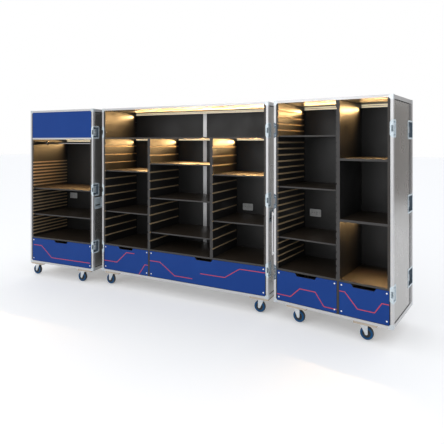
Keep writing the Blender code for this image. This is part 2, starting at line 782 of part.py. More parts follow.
def build_castors(section, frame, case, fork_mesh, fixed_mesh, wheel):
    """Four castors. The centre section's rear pair don't swivel, so their forks belong to the case."""
    for name, place in castor_places(section):
        fixed = section == "centre" and "rear" in name
        heading = 0.0 if fixed else CASTOR_HEADINGS[section]
        axis = empty(name + "_axis", frame, place, heading)
        if fixed:
            join(case, solid(name + "_fork", fixed_mesh, axis))
        else:
            fork = solid(name + "_fork", fork_mesh.copy(), axis)
            finish(fork, ZINC, 0.35, 1.0)
        turned = solid(name + "_wheel", wheel.copy(), axis)
        turned.location = (0, 0 if fixed else -TRAIL, AXLE_Z - PLATE_LOW)
        finish(turned, WHEEL_BLUE, 0.5, 0.0)


def key_mesh():
    """A butterfly key lying flat: a round hub with a long grip across it, standing on z = 0."""
    key = cylinder("key_guide", KEY_HUB_R, GAP, KEY_HUB_H, None, "Z", KEY_SIDES)
    radius = KEY_WING_W / 2
    end = KEY_WING_L / 2 - radius
    grip = []
    for side, start in ((1, -math.pi / 2), (-1, math.pi / 2)):
        for step in range(KEY_ARC_STEPS + 1):
            angle = start + math.pi * step / KEY_ARC_STEPS
            grip.append((side * end + radius * math.cos(angle), radius * math.sin(angle)))
    low = KEY_HUB_H - KEY_WING_T / 4
    join(key, extruded("key_grip", grip, low, KEY_HUB_H + KEY_WING_T, None, "XY"))
    applied(key)
    made = key.data
    bpy.data.objects.remove(key, do_unlink=True)
    return made


def key_places(section):
    """Each latch key's name, its place on its dish's floor and whether it faces left or right."""
    width = WIDTHS[section]
    names = ("low", "middle", "high")
    found = []
    for name, z in zip(names, LATCH_ZS):
        y = LATCH_DISH_D / 2 + EDGE_T
        if section == "left":
            found.append(("left_latch_key_" + name, Vector((width - DISH_DEPTH, y, z)), 1))
        if section == "right":
            found.append(("right_latch_key_" + name, Vector((DISH_DEPTH, y, z)), -1))
            y = BODY_D - LID_KEY_FROM_SEAM
            found.append(("lid_latch_key_" + name, Vector((width - DISH_DEPTH, y, z)), 1))
    return found


def build_keys(section, frame, mesh):
    for name, place, facing in key_places(section):
        axis = empty(name + "_axis", frame, place)
        axis.rotation_euler = (0, facing * math.pi / 2, 0)
        key = solid(name, mesh.copy(), axis)
        finish(key, ZINC, 0.3, 1.0)


def bail_points():
    """The bail's line about its axis: a pin, an arm down, the grip, an arm up and the other pin."""
    pin_end = HANDLE_DISH_W / 2 - GAP
    arm = HANDLE_DISH_W / 2 - BAIL_ARM_INSET
    bend = BAIL_BEND
    half = [
        (arm, 0.0),
        (arm, -BAIL_DROP + bend),
        (arm - bend * (1 - math.cos(math.pi / 4)), -BAIL_DROP + bend * (1 - math.sin(math.pi / 4))),
        (arm - bend, -BAIL_DROP),
    ]
    right = [(pin_end, 0.0)] + half
    left = [(-across, up) for across, up in reversed(right)]
    return [(0, across, up) for across, up in right + left]


def build_handle(section, frame):
    """A bail made of round bar, hanging by its two pins in the dish on the section's right side."""
    depth = DISH_DEPTH - BAIL_FLOOR_GAP - BAIL_R
    place = Vector(
        (WIDTHS[section] - depth, HANDLE_FROM_FRONT, HANDLE_Z + HANDLE_DISH_H / 2 - BAIL_AXIS_DROP)
    )
    name = section + "_handle_bail"
    curve = bpy.data.curves.new(name, "CURVE")
    curve.dimensions = "3D"
    curve.bevel_depth = BAIL_R
    curve.bevel_resolution = 2
    curve.use_fill_caps = True
    points = bail_points()
    spline = curve.splines.new("POLY")
    spline.points.add(len(points) - 1)
    for point, where in zip(spline.points, points):
        point.co = (*where, 1)
    bail = solid(name, curve, frame, place)
    return finish(bail, ZINC, 0.35, 1.0)


def build_shelves(frame, section):
    """The loose shelves of a section, column by column."""
    grooves = GROOVES[section]
    if section == "left":
        columns = [("left_shelf", LINER_IN, LEFT_W - LINER_IN, LEFT_SHELVES)]
    elif section == "centre":
        first, second = CENTRE_DIVIDERS
        columns = [
            ("centre_left_shelf", LINER_IN, first, CENTRE_LEFT_SHELVES),
            ("centre_middle_shelf", first + DIVIDER_T, second, CENTRE_MIDDLE_SHELVES),
            ("centre_right_shelf", second + DIVIDER_T, CENTRE_W - LINER_IN, CENTRE_RIGHT_SHELVES),
        ]
    else:
        columns = [("right_shelf", LINER_IN, RIGHT_DIVIDER, RIGHT_SHELVES)]
    for name, left, right, places in columns:
        for number, groove in enumerate(places, 1):
            build_shelf(name + "_" + str(number), left, right, grooves[groove], frame)


def build_drawers(frame, section):
    names = {
        "left": ["left_drawer"],
        "centre": ["centre_drawer_narrow", "centre_drawer_wide"],
        "right": ["right_drawer_wide", "right_drawer_narrow"],
    }
    for name, span in zip(names[section], drawer_spans(section)):
        build_drawer(name, span, frame)


def wing_corner(section):
    """The wing's local corner nearest the centre, and where it stands in the centre's frame when open."""
    if section == "left":
        return Vector((LEFT_W, 0)), Vector((-LEFT_WING_GAP, -LEFT_WING_FORWARD)), LEFT_WING_TURN
    place = Vector((CENTRE_W + RIGHT_WING_GAP, -RIGHT_WING_FORWARD))
    return Vector((0, 0)), place, RIGHT_WING_TURN


def closing_axis(section):
    """The upright line about which a wing turns from its open place to its closed one.

    Closed, the wing's local corner stands on the centre's corner, one seam in front of it, facing back.
    The line is the one point that both places share.
    """
    _, open_place, turn = wing_corner(section)
    closed_place = Vector((0.0 if section == "left" else CENTRE_W, -SEAM))
    swing = math.pi - turn
    rotation = Matrix.Rotation(swing, 2)
    identity = Matrix.Identity(2)
    return (identity - rotation).inverted() @ (closed_place - rotation @ open_place)


def wing_frames(section, centre_frame):
    """An empty on the wing's closing axis, and the wing's own frame hung from it."""
    corner, open_place, turn = wing_corner(section)
    axis = closing_axis(section)
    pivot = empty(section + "_wing_pivot", centre_frame, (axis.x, axis.y, 0))
    start = open_place - Matrix.Rotation(turn, 2) @ corner - axis
    return empty(section + "_frame", pivot, (start.x, start.y, 0), turn)


def stand_on_origin(root):
    """Moves the whole case so that its bounding box stands centred on the origin."""
    bpy.context.view_layer.update()
    graph = bpy.context.evaluated_depsgraph_get()
    low = Vector((math.inf, math.inf, math.inf))
    high = -low
    for obj in bpy.data.collections[PARTS].objects:
        if obj.type != "MESH":
            continue
        for vertex in obj.evaluated_get(graph).data.vertices:
            point = obj.matrix_world @ vertex.co
            low = Vector(map(min, low, point))
            high = Vector(map(max, high, point))
    root.location -= Vector(((low.x + high.x) / 2, (low.y + high.y) / 2, low.z))


def main():
    clear_scene()
    collection(PARTS)
    collection(CUTTERS)
    root = empty("case_frame", None, (0, 0, CASE_Z))
    centre_frame = empty("centre_frame", root)
    frames = {
        "left": wing_frames("left", centre_frame),
        "centre": centre_frame,
        "right": wing_frames("right", centre_frame),
    }
    fork = build_fork("swivel_fork_guide", TRAIL, LEG_TOP_FRONT, LEG_TOP_BACK, -GAP)
    fixed = build_fork("fixed_fork_guide", 0.0, FIXED_LEG_TOP, FIXED_LEG_TOP, PLATE_T / 2)
    wheel = wheel_mesh()
    key = key_mesh()
    for section, frame in frames.items():
        case = build_case(section, frame)
        build_edging(section, frame)
        build_shelves(frame, section)
        build_drawers(frame, section)
        build_castors(section, frame, case, fork.data, fixed.data, wheel)
        build_keys(section, frame, key)
        if section != "left":
            build_dividers(section, frame)
        if section != "right":
            build_handle(section, frame)
    build_rail(frames["left"])
    build_lid(frames["right"])
    for guide in (fork, fixed):
        bpy.data.objects.remove(guide, do_unlink=True)
    stand_on_origin(root)


main()
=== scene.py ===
"""A wardrobe flight case, open: three rolling plywood sections with aluminium edging and light bars.

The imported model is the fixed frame. Each visible piece is laid out in its own section's coordinates
and rides on the body that carries it. Lengths are in metres, with +Z up.
"""

import json
import math

import bmesh
import bpy
from mathutils import Matrix, Vector


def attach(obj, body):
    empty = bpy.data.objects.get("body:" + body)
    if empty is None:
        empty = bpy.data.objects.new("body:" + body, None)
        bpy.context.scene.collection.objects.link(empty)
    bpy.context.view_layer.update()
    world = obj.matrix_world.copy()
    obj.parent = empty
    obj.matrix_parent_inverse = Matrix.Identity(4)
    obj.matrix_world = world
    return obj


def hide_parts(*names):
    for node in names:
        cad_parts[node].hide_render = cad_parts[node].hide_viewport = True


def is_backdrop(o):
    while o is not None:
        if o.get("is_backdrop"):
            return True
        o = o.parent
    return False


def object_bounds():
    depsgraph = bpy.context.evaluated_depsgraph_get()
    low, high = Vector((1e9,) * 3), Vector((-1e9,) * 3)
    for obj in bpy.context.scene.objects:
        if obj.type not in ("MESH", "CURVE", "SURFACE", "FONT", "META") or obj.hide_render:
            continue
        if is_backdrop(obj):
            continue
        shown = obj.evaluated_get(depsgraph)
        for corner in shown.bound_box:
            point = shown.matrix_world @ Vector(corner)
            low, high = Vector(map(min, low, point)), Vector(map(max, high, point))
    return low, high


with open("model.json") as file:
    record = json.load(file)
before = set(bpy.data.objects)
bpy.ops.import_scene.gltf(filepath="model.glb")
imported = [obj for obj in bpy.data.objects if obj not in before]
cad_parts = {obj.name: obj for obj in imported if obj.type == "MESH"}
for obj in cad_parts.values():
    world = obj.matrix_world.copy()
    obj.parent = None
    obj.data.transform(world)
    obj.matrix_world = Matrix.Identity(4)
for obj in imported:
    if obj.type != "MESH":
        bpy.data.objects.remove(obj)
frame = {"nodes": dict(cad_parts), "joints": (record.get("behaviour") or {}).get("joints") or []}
cad_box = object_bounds()
bpy.context.scene.view_settings.view_transform = "Standard"


def in_scene(name, data):
    """A new object, linked into the scene."""
    made = bpy.data.objects.new(name, data)
    bpy.context.scene.collection.objects.link(made)
    return made


# The three sections as they stand on the floor. Each is measured from its own corner: x across from
# its left side, y from its open front to its back, z up from the underside of its body.
SECTIONS = ("left", "centre", "right")
DRAWER_NAMES = {
    "left": ("left_drawer",),
    "centre": ("centre_drawer_narrow", "centre_drawer_wide"),
    "right": ("right_drawer_wide", "right_drawer_narrow"),
}
axis_of = {joint["name"]: joint["axis"] for joint in frame["joints"]}
stands, wide, deep = {}, {}, {}
for section in SECTIONS:
    slide = axis_of[DRAWER_NAMES[section][0] + "_slide"]
    turn = math.atan2(slide[0], -slide[1])
    square = Matrix.Rotation(-turn, 3, "Z")
    corners = [square @ vertex.co for vertex in frame["nodes"][section + "_edging"].data.vertices]
    low = Vector([min(corner[axis] for corner in corners) for axis in range(3)])
    high = Vector([max(corner[axis] for corner in corners) for axis in range(3)])
    stand = in_scene(section + "_section_stand", None)
    stand.matrix_world = Matrix.Rotation(turn, 4, "Z") @ Matrix.Translation(low)
    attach(stand, section + "_section")
    stands[section] = stand
    wide[section] = high.x - low.x
    deep[section] = high.y - low.y
CASE_H = high.z - low.z
CASE_D = deep["centre"]


# The photographer's place: a level camera to the right of the open case, its frame shifted down so
# that the uprights stay parallel. It is measured from the centre section's corner.
CAMERA_PLACE = Vector((3.136, -3.424, 1.320))
CAMERA_LOOK = Vector((-0.4567, 0.8896, 0.0))
FILM_W, LENS = 36.0, 35.49
FRAME_DROP = -0.182
camera_data = bpy.data.cameras.new("photographer")
camera_data.sensor_width = FILM_W
camera_data.lens = LENS
camera_data.shift_y = FRAME_DROP
camera = in_scene("photographer", camera_data)
camera.location = stands["centre"].matrix_world @ CAMERA_PLACE
camera.rotation_euler = CAMERA_LOOK.to_track_quat("-Z", "Y").to_euler()
bpy.context.scene.camera = camera


# The studio: a seamless white floor and backdrop, two large soft boxes in front and a pale room all
# round. To the camera and in reflections the room is white near the horizon and dims overhead.
FLOOR_HALF = 40.0
FLOOR_WHITE = (0.88, 0.88, 0.885, 1.0)
FLOOR_ROUGH = 0.75
FLOOR_LIFT = 0.20
PURE_WHITE = (1.0, 1.0, 1.0, 1.0)
ROOM_LIGHT = (0.95, 0.97, 1.0, 1.0)
ROOM_STRENGTH = 0.95
OVERHEAD = (0.20, 0.20, 0.205, 1.0)
HORIZON_Z, OVERHEAD_Z = 0.06, 0.50
SOFT_BOXES = (
    ("key_light", (-1.2, -4.6, 2.9), (0.0, 0.0, 0.9), 3.4, 50.0),
    ("fill_light", (4.6, -3.6, 2.2), (1.2, 0.2, 0.9), 2.6, 22.0),
)


def link_up(tree, source, output, target, entry):
    tree.links.new(source.outputs[output], target.inputs[entry])


floor_mesh = bpy.data.meshes.new("studio_floor")
floor_mesh.from_pydata(
    [(x, y, 0.0) for x, y in ((-1, -1), (1, -1), (1, 1), (-1, 1))], [], [(0, 1, 2, 3)]
)
floor_mesh.transform(Matrix.Scale(FLOOR_HALF, 4))
floor = in_scene("studio_floor", floor_mesh)
floor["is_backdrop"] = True
floor_finish = bpy.data.materials.new("studio_floor_paint")
floor_finish.use_nodes = True
tree = floor_finish.node_tree
shader = tree.nodes["Principled BSDF"]
shader.inputs["Base Color"].default_value = FLOOR_WHITE
shader.inputs["Roughness"].default_value = FLOOR_ROUGH
shader.inputs["Emission Color"].default_value = PURE_WHITE
rays = tree.nodes.new("ShaderNodeLightPath")
seen = tree.nodes.new("ShaderNodeMath")
seen.operation = "MAXIMUM"
lift = tree.nodes.new("ShaderNodeMath")
lift.operation = "MULTIPLY"
lift.inputs[1].default_value = FLOOR_LIFT
link_up(tree, rays, "Is Camera Ray", seen, 0)
link_up(tree, rays, "Is Glossy Ray", seen, 1)
link_up(tree, seen, 0, lift, 0)
link_up(tree, lift, 0, shader, "Emission Strength")
floor_mesh.materials.append(floor_finish)

world = bpy.data.worlds.new("studio_room")
bpy.context.scene.world = world
world.use_nodes = True
tree = world.node_tree
tree.nodes.clear()
rays = tree.nodes.new("ShaderNodeLightPath")
place_in_room = tree.nodes.new("ShaderNodeTexCoord")
parts = tree.nodes.new("ShaderNodeSeparateXYZ")
height = tree.nodes.new("ShaderNodeMapRange")
height.interpolation_type = "SMOOTHSTEP"
height.inputs["From Min"].default_value = HORIZON_Z
height.inputs["From Max"].default_value = OVERHEAD_Z
reflected = tree.nodes.new("ShaderNodeMix")
reflected.data_type = "RGBA"
reflected.inputs["A"].default_value = PURE_WHITE
reflected.inputs["B"].default_value = OVERHEAD
lighting = tree.nodes.new("ShaderNodeBackground")
lighting.inputs["Color"].default_value = ROOM_LIGHT
lighting.inputs["Strength"].default_value = ROOM_STRENGTH
mirror = tree.nodes.new("ShaderNodeBackground")
backdrop = tree.nodes.new("ShaderNodeBackground")
backdrop.inputs["Color"].default_value = PURE_WHITE
glossy_mix = tree.nodes.new("ShaderNodeMixShader")
camera_mix = tree.nodes.new("ShaderNodeMixShader")
room = tree.nodes.new("ShaderNodeOutputWorld")
link_up(tree, place_in_room, "Generated", parts, "Vector")
link_up(tree, parts, "Z", height, "Value")
link_up(tree, height, "Result", reflected, "Factor")
link_up(tree, reflected, "Result", mirror, "Color")
link_up(tree, rays, "Is Glossy Ray", glossy_mix, 0)
link_up(tree, lighting, "Background", glossy_mix, 1)
link_up(tree, mirror, "Background", glossy_mix, 2)
link_up(tree, rays, "Is Camera Ray", camera_mix, 0)
link_up(tree, glossy_mix, "Shader", camera_mix, 1)
link_up(tree, backdrop, "Background", camera_mix, 2)
link_up(tree, camera_mix, "Shader", room, "Surface")

# A dark card behind the case to the right, seen by reflections only: it shades the steel-look sides
# as the dark end of the photographer's room does.
CARD_PLACE = (5.0, 3.2, 0.0)
CARD_HALF_W, CARD_LOW, CARD_HIGH = 2.6, 0.30, 2.30
CARD_GLOW = (0.17, 0.15, 0.135, 1.0)
CARD_CLOTH = (0.02, 0.02, 0.02, 1.0)
card_mesh = bpy.data.meshes.new("dark_card")
across = Vector((-CARD_PLACE[1], CARD_PLACE[0], 0)).normalized() * -CARD_HALF_W
card_low, card_high = Vector((0, 0, CARD_LOW)), Vector((0, 0, CARD_HIGH))
card_mesh.from_pydata(
    [across + card_low, -across + card_low, -across + card_high, across + card_high], [], [(0, 1, 2, 3)]
)
card = in_scene("dark_card", card_mesh)
card.location = CARD_PLACE
card.visible_camera = False
card.visible_diffuse = False
card.visible_shadow = False
card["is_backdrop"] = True
card_finish = bpy.data.materials.new("dark_card_cloth")
card_finish.use_nodes = True
shader = card_finish.node_tree.nodes["Principled BSDF"]
shader.inputs["Base Color"].default_value = CARD_CLOTH
shader.inputs["Emission Color"].default_value = CARD_GLOW
shader.inputs["Emission Strength"].default_value = 1.0
card_mesh.materials.append(card_finish)

for name, spot, target, size, power in SOFT_BOXES:
    lamp_data = bpy.data.lights.new(name, "AREA")
    lamp_data.size = size
    lamp_data.energy = power
    lamp = in_scene(name, lamp_data)
    lamp.location = spot
    lamp.rotation_euler = (Vector(target) - Vector(spot)).to_track_quat("-Z", "Y").to_euler()


# The plywood shell of each section: two side panels, roof and floor between them, an inner back and,
# on the left and the centre, a fixed outer back. Outside it has a brushed steel-look laminate, inside
# a black film. The sides are routed for the latch and handle dishes.
EDGE_T = 0.002
GAP = 0.0003
SKIN = EDGE_T + GAP
SIDE_T = 0.0242
SIDE_IN = SKIN + SIDE_T
SHELL_T = 0.0177
FLOOR_Z = SKIN + SHELL_T
ROOF_Z = CASE_H - FLOOR_Z
LID_D = 0.070
BACK_T = 0.012
OUTER_BACK_T = 0.012
BACK_IN = CASE_D - LID_D - SKIN - BACK_T
LEFT_HEAD_H = 0.292
LEFT_HEAD_TOP = ROOF_Z - LEFT_HEAD_H + SHELL_T
LEFT_HEAD_LOW = LEFT_HEAD_TOP - SHELL_T
OUTLET_W, OUTLET_H = 0.095, 0.052
OUTLETS = {"left": (0.137, 0.676), "centre": (1.402, 0.676), "right": (0.145, 0.676)}
EASE = 0.0006
SHARP = math.radians(35)
DISH_DEPTH = 0.018
DISH_SHEET = 0.0008
DISH_H = 0.104
LATCH_ZS = (0.2425, 0.826, 1.410)
LATCH_D, KEEPER_D = 0.080, 0.060
LID_DISH_H = 0.122
LID_DISH_BEFORE, LID_DISH_BEHIND = 0.074, 0.060
HANDLE_W, HANDLE_H = 0.106, 0.092
HANDLE_Y, HANDLE_Z = 0.084, 0.685
CLEAR = 0.03
FACING = 0.9


def shader_group(name, numbers, vectors, colours):
    """A node group with the three outputs that every finish in this file uses."""
    group = bpy.data.node_groups.new(name, "ShaderNodeTree")
    for label, value in vectors.items():
        socket = group.interface.new_socket(label, in_out="INPUT", socket_type="NodeSocketVector")
        socket.default_value = value
    for label, value in numbers.items():
        socket = group.interface.new_socket(label, in_out="INPUT", socket_type="NodeSocketFloat")
        socket.default_value = value
    for label in colours:
        group.interface.new_socket(label, in_out="INPUT", socket_type="NodeSocketColor")
    group.interface.new_socket("Colour", in_out="OUTPUT", socket_type="NodeSocketColor")
    group.interface.new_socket("Roughness", in_out="OUTPUT", socket_type="NodeSocketFloat")
    group.interface.new_socket("Height", in_out="OUTPUT", socket_type="NodeSocketFloat")
    return group, group.nodes.new("NodeGroupInput"), group.nodes.new("NodeGroupOutput")


def scaled_place(group, given, factor, entry="VECTOR"):
    """The surface's place times a factor socket, which may be one number or a stretch of three."""
    scaled = group.nodes.new("ShaderNodeVectorMath")
    scaled.operation = "MULTIPLY" if entry == "VECTOR" else "SCALE"
    link_up(group, given, "Place", scaled, 0)
    link_up(group, given, factor, scaled, 1 if entry == "VECTOR" else "Scale")
    return scaled


def speckle(group, source, scale, detail):
    noise = group.nodes.new("ShaderNodeTexNoise")
    noise.inputs["Scale"].default_value = scale
    noise.inputs["Detail"].default_value = detail
    link_up(group, source, "Vector", noise, "Vector")
    return noise


def spread(group, source, output, low_from, high_from, low=None, high=None):
    """Spreads a value between two limits, which are sockets of the group or 0 and 1."""
    spreader = group.nodes.new("ShaderNodeMapRange")
    spreader.inputs["From Min"].default_value = low_from
    spreader.inputs["From Max"].default_value = high_from
    link_up(group, source, output, spreader, "Value")
    for socket, entry in ((low, "To Min"), (high, "To Max")):
        if socket:
            link_up(group, group.nodes["Group Input"], socket, spreader, entry)
    return spreader


def blend_colours(group, factor, output, first, second):
    mixed = group.nodes.new("ShaderNodeMix")
    mixed.data_type = "RGBA"
    link_up(group, factor, output, mixed, "Factor")
    link_up(group, group.nodes["Group Input"], first, mixed, "A")
    link_up(group, group.nodes["Group Input"], second, mixed, "B")
    return mixed


def scuffed_group():
    """Paint, film or laminate: a fine texture, with broad patches that are duller or paler."""
    group, given, made = shader_group(
        "scuffed surface",
        {"Size": 1.0, "Low Roughness": 0.3, "High Roughness": 0.5},
        {"Place": (0, 0, 0)},
        ("Main Colour", "Worn Colour"),
    )
    sized = scaled_place(group, given, "Size", "NUMBER")
    patches = speckle(group, sized, scale=4.0, detail=5.0)
    grain = speckle(group, sized, scale=420.0, detail=2.0)
    worn = spread(group, patches, "Fac", low_from=0.42, high_from=0.78)
    dull = spread(group, patches, "Fac", 0.35, 0.65, "Low Roughness", "High Roughness")
    colour = blend_colours(group, worn, "Result", "Main Colour", "Worn Colour")
    link_up(group, colour, "Result", made, "Colour")
    link_up(group, dull, "Result", made, "Roughness")
    link_up(group, grain, "Fac", made, "Height")
    return group


def streaked_group():
    """Brushed or drawn metal and wood grain: noise stretched along one direction, over soft patches."""
    group, given, made = shader_group(
        "streaked surface",
        {"Low Roughness": 0.3, "High Roughness": 0.5},
        {"Place": (0, 0, 0), "Stretch": (1, 1, 1)},
        ("Main Colour", "Streak Colour"),
    )
    stretched = scaled_place(group, given, "Stretch")
    streaks = speckle(group, stretched, scale=1.0, detail=6.0)
    patch = group.nodes.new("ShaderNodeTexNoise")
    patch.inputs["Scale"].default_value = 3.0
    link_up(group, given, "Place", patch, "Vector")
    mask = spread(group, streaks, "Fac", low_from=0.32, high_from=0.70)
    dull = spread(group, patch, "Fac", 0.3, 0.7, "Low Roughness", "High Roughness")
    colour = blend_colours(group, mask, "Result", "Main Colour", "Streak Colour")
    link_up(group, colour, "Result", made, "Colour")
    link_up(group, dull, "Result", made, "Roughness")
    link_up(group, streaks, "Fac", made, "Height")
    return group


SCUFFED = scuffed_group()
STREAKED = streaked_group()
RELIEF = 0.0002


def finish(name, group, looks, rough, metallic=0.0, bump=0.15, specular=0.5):
    """A material whose colour, roughness and relief come from one of the shader groups."""
    made = bpy.data.materials.new(name)
    made.use_nodes = True
    tree = made.node_tree
    shader = tree.nodes["Principled BSDF"]
    shader.inputs["Metallic"].default_value = metallic
    shader.inputs["Specular IOR Level"].default_value = specular
    place = tree.nodes.new("ShaderNodeTexCoord")
    pattern = tree.nodes.new("ShaderNodeGroup")
    pattern.node_tree = group
    for label, value in looks.items():
        pattern.inputs[label].default_value = (*value, 1.0) if "Colour" in label else value
    for label, value in zip(("Low Roughness", "High Roughness"), rough):
        pattern.inputs[label].default_value = value
    link_up(tree, place, "Object", pattern, "Place")
    link_up(tree, pattern, "Colour", shader, "Base Color")
    link_up(tree, pattern, "Roughness", shader, "Roughness")
    raised = tree.nodes.new("ShaderNodeBump")
    raised.inputs["Strength"].default_value = bump
    raised.inputs["Distance"].default_value = RELIEF
    link_up(tree, pattern, "Height", raised, "Height")
    link_up(tree, raised, "Normal", shader, "Normal")
    return made


def scuffed(name, size, main, worn, rough, **more):
    """A finish of film, laminate, paint, plastic or cast metal."""
    looks = {"Size": size, "Main Colour": main, "Worn Colour": worn}
    return finish(name, SCUFFED, looks, rough, **more)


def streaked(name, stretch, main, streak, rough, **more):
    """A finish of drawn or brushed metal, or of wood, with its streaks along one direction."""
    looks = {"Stretch": stretch, "Main Colour": main, "Streak Colour": streak}
    return finish(name, STREAKED, looks, rough, **more)


STEEL_LAMINATE = streaked(
    "steel_look_laminate", stretch=(900.0, 900.0, 12.0), main=(0.43, 0.42, 0.405), streak=(0.35, 0.34, 0.325),
    rough=(0.24, 0.34), metallic=0.9,
)
BLACK_FILM = scuffed(
    "black_film", size=1.0, main=(0.0085, 0.0083, 0.0080), worn=(0.0130, 0.0125, 0.0120),
    rough=(0.34, 0.48),
)


def mesh_of(name, bm):
    """The mesh that a working mesh holds, once the working mesh is done with."""
    mesh = bpy.data.meshes.new(name)
    bm.to_mesh(mesh)
    bm.free()
    return mesh


def block_mesh(name, blocks):
    """A mesh holding a board for each pair of low and high corners."""
    bm = bmesh.new()
    for low, high in blocks:
        low, high = Vector(low), Vector(high)
        bmesh.ops.create_cube(bm, size=1.0, matrix=Matrix.LocRotScale((low + high) / 2, None, high - low))
    return mesh_of(name, bm)


def combined(mesh, tool, operation):
    """The mesh with a tool mesh cut from it or joined to it."""
    body = in_scene(mesh.name, mesh)
    cutter = in_scene("cutter", tool)
    step = body.modifiers.new("combine", "BOOLEAN")
    step.operation = operation
    step.solver = "EXACT"
    step.object = cutter
    bpy.context.view_layer.update()
    graph = bpy.context.evaluated_depsgraph_get()
    made = bpy.data.meshes.new_from_object(body.evaluated_get(graph))
    made.name = mesh.name
    for guide in (body, cutter):
        bpy.data.objects.remove(guide)
    return made


def carved(mesh, *blocks):
    return combined(mesh, block_mesh("cutter", blocks), "DIFFERENCE") if blocks else mesh


def ease_edges(piece, width=EASE):
    bevel = piece.modifiers.new("eased edges", "BEVEL")
    bevel.width = width
    bevel.segments = 2
    bevel.limit_method = "ANGLE"
    bevel.angle_limit = SHARP
    bevel.harden_normals = True


def put(name, mesh, section, finishes, choose=None, ease=EASE, body=None, slot=None, stands_for=()):
    """Puts a mesh in its section with its finishes, eased edges and the body that carries it."""
    piece = in_scene(name, mesh)
    mesh.materials.clear()
    for material in finishes:
        mesh.materials.append(material)
    for face in mesh.polygons:
        face.material_index = choose(face.normal, face.center) if choose else 0
    mesh.shade_smooth()
    if ease:
        ease_edges(piece, ease)
    else:
        mesh.set_sharp_from_angle(angle=SHARP)
    if body:
        piece.matrix_world = stands[section].matrix_world
        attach(piece, body)
    else:
        piece.parent = stands[section]
    if stands_for:
        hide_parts(*stands_for)
    return piece


def put_blocks(name, blocks, section, finishes, *choose, **options):
    """Puts boards or blocks that are given by their low and high corners."""
    return put(name, block_mesh(name, blocks), section, finishes, *choose, **options)


def looking(axis, sign):
    """Picks the second finish for the faces that look one way along an axis."""
    return lambda normal, centre: int(normal[axis] * sign > FACING)


def pockets(section):
    """Each routed pocket: what it holds, its side (-1 or 1), and its edges along the depth and height."""
    found = []
    for z in LATCH_ZS:
        low, high = z - DISH_H / 2, z + DISH_H / 2
        if section != "left":
            kind, far = ("latch", LATCH_D) if section == "right" else ("keeper", KEEPER_D)
            found.append((kind, -1, 0.0, far, low, high))
        kind, far = ("latch", LATCH_D) if section == "left" else ("keeper", KEEPER_D)
        if section != "right" or z != LATCH_ZS[1]:
            found.append((kind, 1, 0.0, far, low, high))
        if section == "right":
            low, high = z - LID_DISH_H / 2, z + LID_DISH_H / 2
            seam = deep["right"]
            found.append(("lid", 1, seam - LID_DISH_BEFORE, seam + LID_DISH_BEHIND, low, high))
    if section != "right":
        near, far = HANDLE_Y - HANDLE_W / 2, HANDLE_Y + HANDLE_W / 2
        found.append(("handle", 1, near, far, HANDLE_Z - HANDLE_H / 2, HANDLE_Z + HANDLE_H / 2))
    return found


def pocket_blocks(section, grow, side=None):
    """Blocks that cut a section's pockets, grown by a sheet's thickness."""
    blocks = []
    for _, facing, near, far, low, high in pockets(section):
        if side and facing != side:
            continue
        deepest = DISH_DEPTH + grow
        across = (-CLEAR, deepest) if facing < 0 else (wide[section] - deepest, wide[section] + CLEAR)
        front = -CLEAR if near == 0.0 else near - grow
        blocks.append(((across[0], front, low - grow), (across[1], far + grow, high + grow)))
    return blocks


for section in SECTIONS:
    width, depth = wide[section], deep[section]
    side_blocks = {
        "left": ((SKIN, SKIN, SKIN), (SIDE_IN, depth - SKIN, CASE_H - SKIN)),
        "right": ((width - SIDE_IN, SKIN, SKIN), (width - SKIN, depth - SKIN, CASE_H - SKIN)),
    }
    for hand, sign in (("left", -1), ("right", 1)):
        name = section + "_side_panel_" + hand
        panel = carved(block_mesh(name, [side_blocks[hand]]), *pocket_blocks(section, DISH_SHEET, sign))
        stands_for = [section + "_case"] if hand == "left" else []
        put(
            name, panel, section, (BLACK_FILM, STEEL_LAMINATE), looking(0, sign),
            slot="ply", stands_for=stands_for,
        )
    for name, low, high, sign in (
        ("roof", ROOF_Z, CASE_H - SKIN, 1),
        ("floor", SKIN, FLOOR_Z, -1),
    ):
        board = [((SIDE_IN, SKIN, low), (width - SIDE_IN, depth - SKIN, high))]
        name = section + "_" + name + "_panel"
        finishes = (BLACK_FILM, STEEL_LAMINATE)
        put_blocks(name, board, section, finishes, looking(2, sign), slot="ply")
    top = LEFT_HEAD_TOP if section == "left" else ROOF_Z
    name = section + "_inner_back"
    board = block_mesh(name, [((SIDE_IN, BACK_IN, FLOOR_Z), (width - SIDE_IN, BACK_IN + BACK_T, top))])
    x, z = OUTLETS[section]
    opening = (
        (x - OUTLET_W / 2, BACK_IN - CLEAR, z - OUTLET_H / 2),
        (x + OUTLET_W / 2, BACK_IN + CLEAR, z + OUTLET_H / 2),
    )
    put(name, carved(board, opening), section, (BLACK_FILM,), slot="ply")
    if section != "right":
        name = section + "_outer_back"
        back = CASE_D - SKIN
        board = [((SIDE_IN, back - OUTER_BACK_T, FLOOR_Z), (width - SIDE_IN, back, ROOF_Z))]
        put_blocks(name, board, section, (BLACK_FILM, STEEL_LAMINATE), looking(1, 1), slot="ply")


